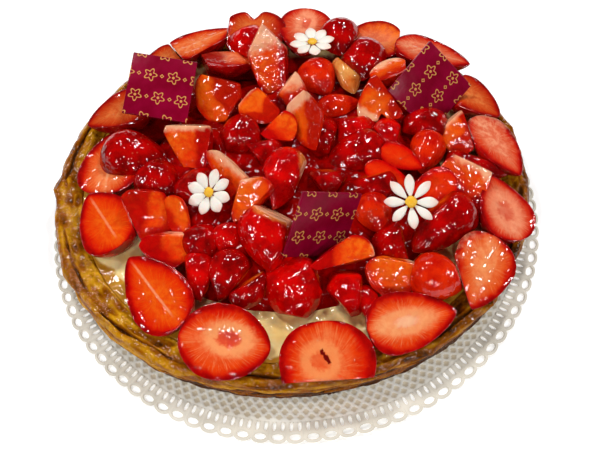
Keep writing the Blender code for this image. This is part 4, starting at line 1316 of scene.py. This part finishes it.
# %% The heap
DOWN = (0, -90)
HEAP = {
    "heap_01": ((-82, 21, 20), 40, 30, "half", -25, DOWN, "crimson"),
    "heap_02": ((-51, 15, 32), 40, 29, "half", -85, (-115, 50), "vivid",
                {"pale": ((85, 8, 14),), "red": ((-10, -1, 6), (-90, 6, 18))}),
    "heap_03": ((-36, 46, 34), 36, 29, "half", -95, (-130, 43), "amber",
                {"red": ((25, -3, 5), (-95, 8, 18))}),
    "heap_04": ((-30, 82, 30), 38, 27, "half", -15, (75, 68), "pink"),
    "heap_05": ((-4, 68, 36), 54, 31, "half", -88, (-95, 42), "vivid",
                {"pale": ((100, 2, 17),), "red": ((0, -1, 6), (-100, 12, 24))}),
    "heap_06": ((-15, 38, 37), 25, 20, "half", 180, (-100, 58), "amber",
                {"pale": ((130, 4, 10),), "red": ((-20, 1, 7), (-100, 1, 7))}),
    "heap_07": ((2, 48, 37), 24, 25, "half", 85, (-115, 48), "amber", {"pale": ((100, -5, 5),)}),
    "heap_08": ((20, 62, 26), 25, 22, "half", -70, DOWN, "blush"),
    "heap_09": ((36, 61, 28), 27, 17, "half", -80, DOWN, "unripe"),
    "heap_10": ((35, 91, 24), 29, 25, "half", -80, DOWN, "crimson"),
    "heap_11": ((46, 73, 24), 29, 27, "half", -100, DOWN, "crimson"),
    "heap_12": ((57, 58, 34), 27, 20, "half", 215, (120, 68), "amber", {"pale": ((110, 0, 6),)}),
    "heap_13": ((50, 33, 38), 28, 25, "half", 95, (-90, 50), "amber",
                {"notch": (3.0, 7.0), "pale": ((-125, 5, 10),), "red": ((60, 0, 8), (0, 3, 9))}),
    "heap_14": ((11, 23, 40), 36, 32, "half", -100, (-155, 35), "amber",
                {"pale": ((125, 5, 12),), "red": ((-5, -3, 2),)}),
    "heap_15": ((-5, -9, 31), 38, 24, "half", -110, DOWN, "vivid", {"pale": ((0, 8, 12),)}),
    "heap_16": ((-32, -8, 39), 36, 22, "slice", 120, (-140, 40), "amber", {"pale": ((45, -1, 6),)}),
    "heap_17": ((-22, -26, 38), 30, 24, "half", -120, (-115, 50), "amber",
                {"pale": ((110, 8, 13),), "red": ((-40, 5, 12),)}),
    "heap_18": ((-13, -43, 28), 46, 29, "half", -75, DOWN, "vivid",
                {"pale": ((60, 8, 13), (-75, 13, 18))}),
    "heap_19": ((-74, -24, 30), 34, 30, "half", -50, (-65, 55), "vivid",
                {"red": ((165, -5, 7), (-60, 2, 12))}),
    "heap_20": ((-63, -41, 29), 30, 25, "half", 178, (-65, 60), "vivid",
                {"pale": ((70, 3, 9),), "red": ((190, -4, 9), (-100, 3, 12))}),
    "heap_21": ((-36, -59, 22), 31, 23, "half", -125, DOWN, "crimson"),
    "heap_22": ((-3, -68, 18), 35, 34, "half", -95, DOWN, "vivid"),
    "heap_23": ((21, -60, 34), 32, 20, "half", 190, (-80, 64), "vivid", {"pale": ((5, 12, 19),)}),
    "heap_24": ((45, -69, 27), 25, 27, "half", -80, (-85, 55), "amber",
                {"pale": ((50, 8, 13),), "red": ((-105, 2, 9),)}),
    "heap_25": ((67, -70, 24), 28, 25, "whole", -15, DOWN, "blush"),
    "heap_26": ((73, -40, 23), 42, 28, "half", 220, DOWN, "crimson"),
    "heap_27": ((91, -22, 30), 38, 28, "half", -50, (-100, 50), "vivid", {"pale": ((50, 3, 12),)}),
    "heap_28": ((88, 15, 30), 27, 26, "half", 80, (-120, 50), "amber",
                {"pale": ((130, 1, 7),), "red": ((-60, 2, 9), (20, 3, 9))}),
    "heap_29": ((72, 5, 25), 27, 19, "half", 250, DOWN, "blush"),
    "heap_30": ((34, 7, 24), 36, 28, "half", 200, DOWN, "crimson"),
}
for number, (node, row) in enumerate(HEAP.items(), start=40):
    make_berry(node + "_fruit", row, node, number)
print("heap pieces:", len(HEAP))

# %% [markdown]
# Under them lie smaller and deeper pieces, on a core of fruit sunk in gel. The solid model has
# them as one body, the bed, so here the core stands for that body and the pieces lie on it.

# %% The bed
BED = {
    "bed_01": ((-69, 2, 21), 27, 25, "half", -60, DOWN, "crimson"),
    "bed_02": ((-20, 97, 23), 24, 24, "half", 170, DOWN, "vivid"),
    "bed_03": ((-6, 23, 36), 23, 19, "half", 165, (-95, 65), "vivid"),
    "bed_04": ((-27, 24, 26), 27, 26, "half", 205, DOWN, "crimson"),
    "bed_05": ((-12, 15, 25), 27, 23, "half", 20, DOWN, "crimson"),
    "bed_06": ((-34, -39, 24), 19, 18, "half", -90, DOWN, "vivid"),
    "bed_07": ((-48, -3, 22), 31, 25, "half", 60, DOWN, "crimson"),
    "bed_08": ((-59, -26, 30), 24, 15, "half", -80, (-115, 50), "amber"),
    "bed_09": ((-46, -36, 21), 26, 22, "half", 40, DOWN, "crimson"),
    "bed_10": ((-49, -57, 20), 30, 20, "half", -75, DOWN, "vivid"),
    "bed_11": ((-26, -67, 21), 27, 20, "half", -130, DOWN, "crimson"),
    "bed_12": ((22, -70, 20), 30, 23, "half", 100, DOWN, "vivid"),
    "bed_13": ((32, -79, 18), 24, 15, "half", -60, DOWN, "vivid"),
    "bed_14": ((46, -48, 21), 27, 25, "half", 200, DOWN, "crimson"),
    "bed_15": ((40, -32, 27), 23, 20, "half", -80, DOWN, "blush"),
    "bed_16": ((71, -22, 33), 24, 18, "half", 190, (-100, 55), "vivid"),
    "bed_17": ((97, -4, 21), 34, 19, "half", -20, DOWN, "crimson"),
    "bed_18": ((72, 24, 25), 29, 21, "half", 170, DOWN, "crimson"),
    "bed_19": ((53, 20, 25), 25, 20, "half", 90, DOWN, "vivid"),
    "bed_20": ((36, 23, 28), 25, 20, "half", 20, DOWN, "vivid"),
    "bed_21": ((19, 21, 28), 26, 20, "half", 70, DOWN, "crimson"),
    "bed_22": ((19, -10, 28), 22, 20, "half", 0, DOWN, "crimson"),
    "bed_23": ((39, -16, 27), 31, 22, "half", 180, DOWN, "crimson"),
    "bed_24": ((29, 40, 28), 24, 15, "half", 10, DOWN, "blush"),
    "bed_25": ((-63, 59, 26), 34, 26, "half", 60, DOWN, "crimson"),
    "bed_26": ((68, 50, 20), 34, 26, "half", 140, DOWN, "crimson"),
    "bed_27": ((50, -14, 33), 28, 12, "half", -38, (-95, 58), "vivid"),
    "bed_28": ((58, -1, 31), 24, 13, "half", -35, (-95, 60), "vivid"),
}
for number, (name, row) in enumerate(BED.items(), start=80):
    make_berry(name + "_fruit", row, None, number)
print("bed pieces:", len(BED))

# %% [markdown]
# The core of the bed is a low uneven dome. It fills what shows between the pieces with dark, shiny fruit.

# %% The core of the bed
BED_RADIUS = 84.0
BED_HEIGHT = 13.5


def make_bed_core(columns=200):
    """A low uneven dome of gel and fruit that fills what shows between the pieces."""
    angles = np.arange(columns) * math.tau / columns
    cos, sin = np.cos(angles), np.sin(angles)
    rings = []
    edge = np.stack([cos * BED_RADIUS, sin * BED_RADIUS, angles * 0], axis=1)
    uneven = 0.955 + 0.02 * rumple(edge, 17.0, 43)
    for share in np.linspace(1.0, 0.02, 70):
        spots = np.stack([cos * BED_RADIUS * share, sin * BED_RADIUS * share, angles * 0], axis=1)
        dome = np.interp(share, (0.0, 0.35, 0.7, 0.93, 1.0), (1.0, 1.0, 0.8, 0.45, 0.0))
        lumps = 1.6 * rumple(spots, 9.0, 41) + 0.6 * rumple(spots, 4.0, 42)
        level = BERRY_FLOOR - 0.3 + BED_HEIGHT * dome - 1.5 + lumps * step(1 - share, 0.0, 0.08)
        middle = np.stack([angles * 0 + TART_X, angles * 0 + TART_Y, level], axis=1)
        rings.append(spots * uneven[:, None] + middle)
    points, faces = turned_solid(rings)
    core = make_piece("fruit_bed", points, faces, BED_FINISH)
    settle(core, "strawberry_deep", "strawberry_bed")
    return core


bed = make_bed_core()
print("bed core points:", len(bed.data.vertices))

# %% [markdown]
# The plaques are thin squares of coloured chocolate with a gold print, poured flat and pushed into the
# heap. Their corners are sharp and their edges only slightly eased, so a bevelled slab is enough.

# %% Chocolate plaques
PLAQUE_SIDE = 35.0
PLAQUE_THICKNESS = 1.8
# Each plaque: its place, the heading and lift of its face, and its spin, in millimetres and degrees.
PLAQUES = {
    "plaque_1": ((-66.7, 53.3, 40.5), (-77, 68), -25),
    "plaque_2": ((78, 39, 38), (-67, 39), 27),
    "plaque_3": ((13, -44, 40), (-61, 18), -33),
}


def make_plaque(node, place, face, spin):
    """A square slab with slightly eased edges."""
    normal = direction(*face)
    across = direction(face[0] + 90, 0)
    turn = Matrix((across, normal.cross(across), normal)).transposed()
    matrix = placed(place, turn @ Matrix.Rotation(math.radians(spin), 3, "Z"))
    bm = bmesh.new()
    bmesh.ops.create_cube(bm, size=1.0)
    bmesh.ops.scale(bm, vec=(PLAQUE_SIDE * MM, PLAQUE_SIDE * MM, PLAQUE_THICKNESS * MM), verts=bm.verts)
    bmesh.ops.bevel(bm, geom=bm.edges[:], offset=0.3 * MM, segments=3, profile=0.5, affect="EDGES")
    mesh = bpy.data.meshes.new(node + "_chocolate")
    bm.to_mesh(mesh)
    bm.free()
    mesh.materials.append(CHOCOLATE)
    mesh.shade_smooth()
    mesh.set_sharp_from_angle(angle=math.radians(35))
    plaque = bpy.data.objects.new(node + "_chocolate", mesh)
    plaque.matrix_world = Matrix.Translation(matrix.translation * MM) @ matrix.to_3x3().to_4x4()
    bpy.context.scene.collection.objects.link(plaque)
    settle(plaque, "coloured_chocolate", node)


for node, row in PLAQUES.items():
    make_plaque(node, *row)
print("plaques:", len(PLAQUES))

# %% [markdown]
# A sugar daisy is cut from paste with a plunger: eight petals, each plump in the middle and pointed at
# its end, round a yellow button. Each petal is a small closed form, flat below and domed above, curling
# up a little towards its tip.

# %% Sugar daisies
# Each daisy: its place, its width, the heading and lift of its face, its spin, and how wide half a
# petal is over the width of the daisy.
DAISIES = {
    "daisy_1": ((18.3, 83, 34), 26.0, (90, 82), 5, 0.125),
    "daisy_2": ((-41.6, -15.8, 35.4), 25.0, (-130, 58), 14, 0.125),
    "daisy_3": ((57.4, -34.3, 38.5), 28.5, (-80, 66), 0, 0.09),
}
PETALS = 8


def make_daisy(node, place, width, face, spin, slim):
    """Eight petals and a button, as one object."""
    matrix = placed(place, facing(direction(*face), 90))
    points, faces, blush, button = [], [], [], []

    def blob(centre, heading, long, wide, tall, tips, middle, curl, rows=14, columns=16):
        """A closed plump form along a heading, narrowed at both ends."""
        first = len(points)
        for j in range(rows):
            share = 0.5 - 0.5 * math.cos(math.pi * (j + 0.5) / rows)
            half = math.sin(math.pi * share ** tips) ** 0.7
            for i in range(columns):
                t = math.tau * i / columns
                side = wide * half * math.cos(t)
                up = tall * half * math.sin(t) * (1.0 if math.sin(t) > 0 else 0.45)
                out = share * long
                crease = 0.0
                if math.sin(t) > 0:
                    crease = -0.12 * tall * math.exp(-((side / (0.25 * wide)) ** 2))
                x = centre[0] + out * math.cos(heading) - side * math.sin(heading)
                y = centre[1] + out * math.sin(heading) + side * math.cos(heading)
                points.append((x, y, centre[2] + up + crease + curl * share * share))
                blush.append(share)
                button.append(middle if middle else 0.45 * (1 - step(share, 0.0, 0.3)))
        faces.extend(tuple(first + i for i in quad) for quad in strip_faces(rows, columns))
        faces.append(tuple(first + i for i in range(columns))[::-1])
        faces.append(tuple(first + (rows - 1) * columns + i for i in range(columns)))

    rng = np.random.default_rng(int(width * 10))
    for k in range(PETALS):
        heading = math.radians(spin) + math.tau * k / PETALS + rng.uniform(-0.06, 0.06)
        reach = width / 2 * rng.uniform(0.94, 1.0)
        start = (0.06 * width * math.cos(heading), 0.06 * width * math.sin(heading), 0.7)
        plump = slim * width * rng.uniform(0.9, 1.1)
        blob(start, heading, reach - 0.06 * width, plump, 0.95, 1.45, 0.0, rng.uniform(0.4, 1.3))
    blob((-0.11 * width, 0, 1.5), 0.0, 0.22 * width, 0.11 * width, 1.4, 1.0, 1.0, 0.0)
    daisy = make_piece(node + "_sugar", points, faces, SUGAR, matrix, {"blush": blush, "button": button})
    settle(daisy, "sugar_paste", node)


for node, row in DAISIES.items():
    make_daisy(node, *row)
print("daisies:", len(DAISIES))

# %% [markdown]
# The tart stands on a plain pale floor, which glows faintly so that shadows on it stay pale. Seven small
# lamps stand round it, the strongest at the back, as over a bakery's counter. Each is mirrored in many
# small waves of the gel, which gives its short bright lights.

# %% Floor and lamps
WHITE = (1.0, 1.0, 1.0, 1.0)
FLOOR_REACH = 3.0
FLOOR_GLOW = 0.25
WORLD_LIGHT = 0.04
LAMP_DISTANCE = 1.2
# Each lamp: its heading and lift in degrees, its side in metres and its power in watts.
LAMPS = {
    "lamp_back_left": (124, 56, 0.17, 5.2),
    "lamp_back_right": (60, 52, 0.16, 5.0),
    "lamp_left": (182, 30, 0.13, 3.0),
    "lamp_right": (-2, 30, 0.13, 2.7),
    "lamp_front_left": (-122, 40, 0.12, 2.7),
    "lamp_front_right": (-60, 38, 0.12, 2.7),
    "lamp_front": (-94, 44, 0.08, 1.5),
}


def make_floor():
    """A pale matt square just below the doily."""
    mesh = bpy.data.meshes.new("floor")
    corners = [(-FLOOR_REACH, -FLOOR_REACH, 0), (FLOOR_REACH, -FLOOR_REACH, 0),
               (FLOOR_REACH, FLOOR_REACH, 0), (-FLOOR_REACH, FLOOR_REACH, 0)]
    mesh.from_pydata(corners, [], [(0, 1, 2, 3)])
    made, tree, shader = new_material("pale floor", {"Roughness": 0.9, "Specular IOR Level": 0.0})
    shader.inputs["Emission Color"].default_value = WHITE
    shader.inputs["Emission Strength"].default_value = FLOOR_GLOW
    tone = speckle(tree, object_place(tree), 3.0)
    pale = mixed(tree, tone, colour(252, 252, 252), colour(254, 254, 254))
    tree.links.new(pale, shader.inputs["Base Color"])
    mesh.materials.append(made)
    floor = bpy.data.objects.new("floor", mesh)
    floor.location.z = -0.0002
    bpy.context.scene.collection.objects.link(floor)


def area_light(name, heading, lift, size, power):
    """A square lamp that faces the middle of the tart."""
    data = bpy.data.lights.new(name, "AREA")
    data.shape = "SQUARE"
    data.size = size
    data.energy = power
    lamp = bpy.data.objects.new(name, data)
    at = direction(heading, lift) * LAMP_DISTANCE
    lamp.location = at
    lamp.rotation_euler = (-at).to_track_quat("-Z", "Y").to_euler()
    bpy.context.scene.collection.objects.link(lamp)


make_floor()
for name, row in LAMPS.items():
    area_light(name, *row)
world = bpy.data.worlds.new("studio")
world.use_nodes = True
background = world.node_tree.nodes["Background"]
background.inputs["Color"].default_value = WHITE
background.inputs["Strength"].default_value = WORLD_LIGHT
bpy.context.scene.world = world
bpy.context.scene.view_settings.view_transform = "Standard"
print("lamps:", len(LAMPS))

# %% [markdown]
# The camera looks down at the photo's angle, from the front and from half a metre away, with the photo's
# slight roll.

# %% Camera
EYE_LIFT = 55.67
EYE_DISTANCE = 0.5
LOOK_AT = Vector((0.0025, -0.0055, -0.0038))
ROLL = -4.43
FIELD = 36.0
lens = bpy.data.cameras.new("camera")
lens.sensor_fit = "HORIZONTAL"
lens.angle = math.radians(FIELD)
lens.clip_start = 0.01
camera = bpy.data.objects.new("camera", lens)
eye = direction(-90, EYE_LIFT) * EYE_DISTANCE
aim = (LOOK_AT - eye).to_track_quat("-Z", "Y").to_matrix().to_4x4()
camera.matrix_world = Matrix.Translation(eye) @ aim @ Matrix.Rotation(math.radians(ROLL), 4, "Z")
bpy.context.scene.collection.objects.link(camera)
bpy.context.scene.camera = camera
print("camera at, m:", [round(v, 4) for v in eye])
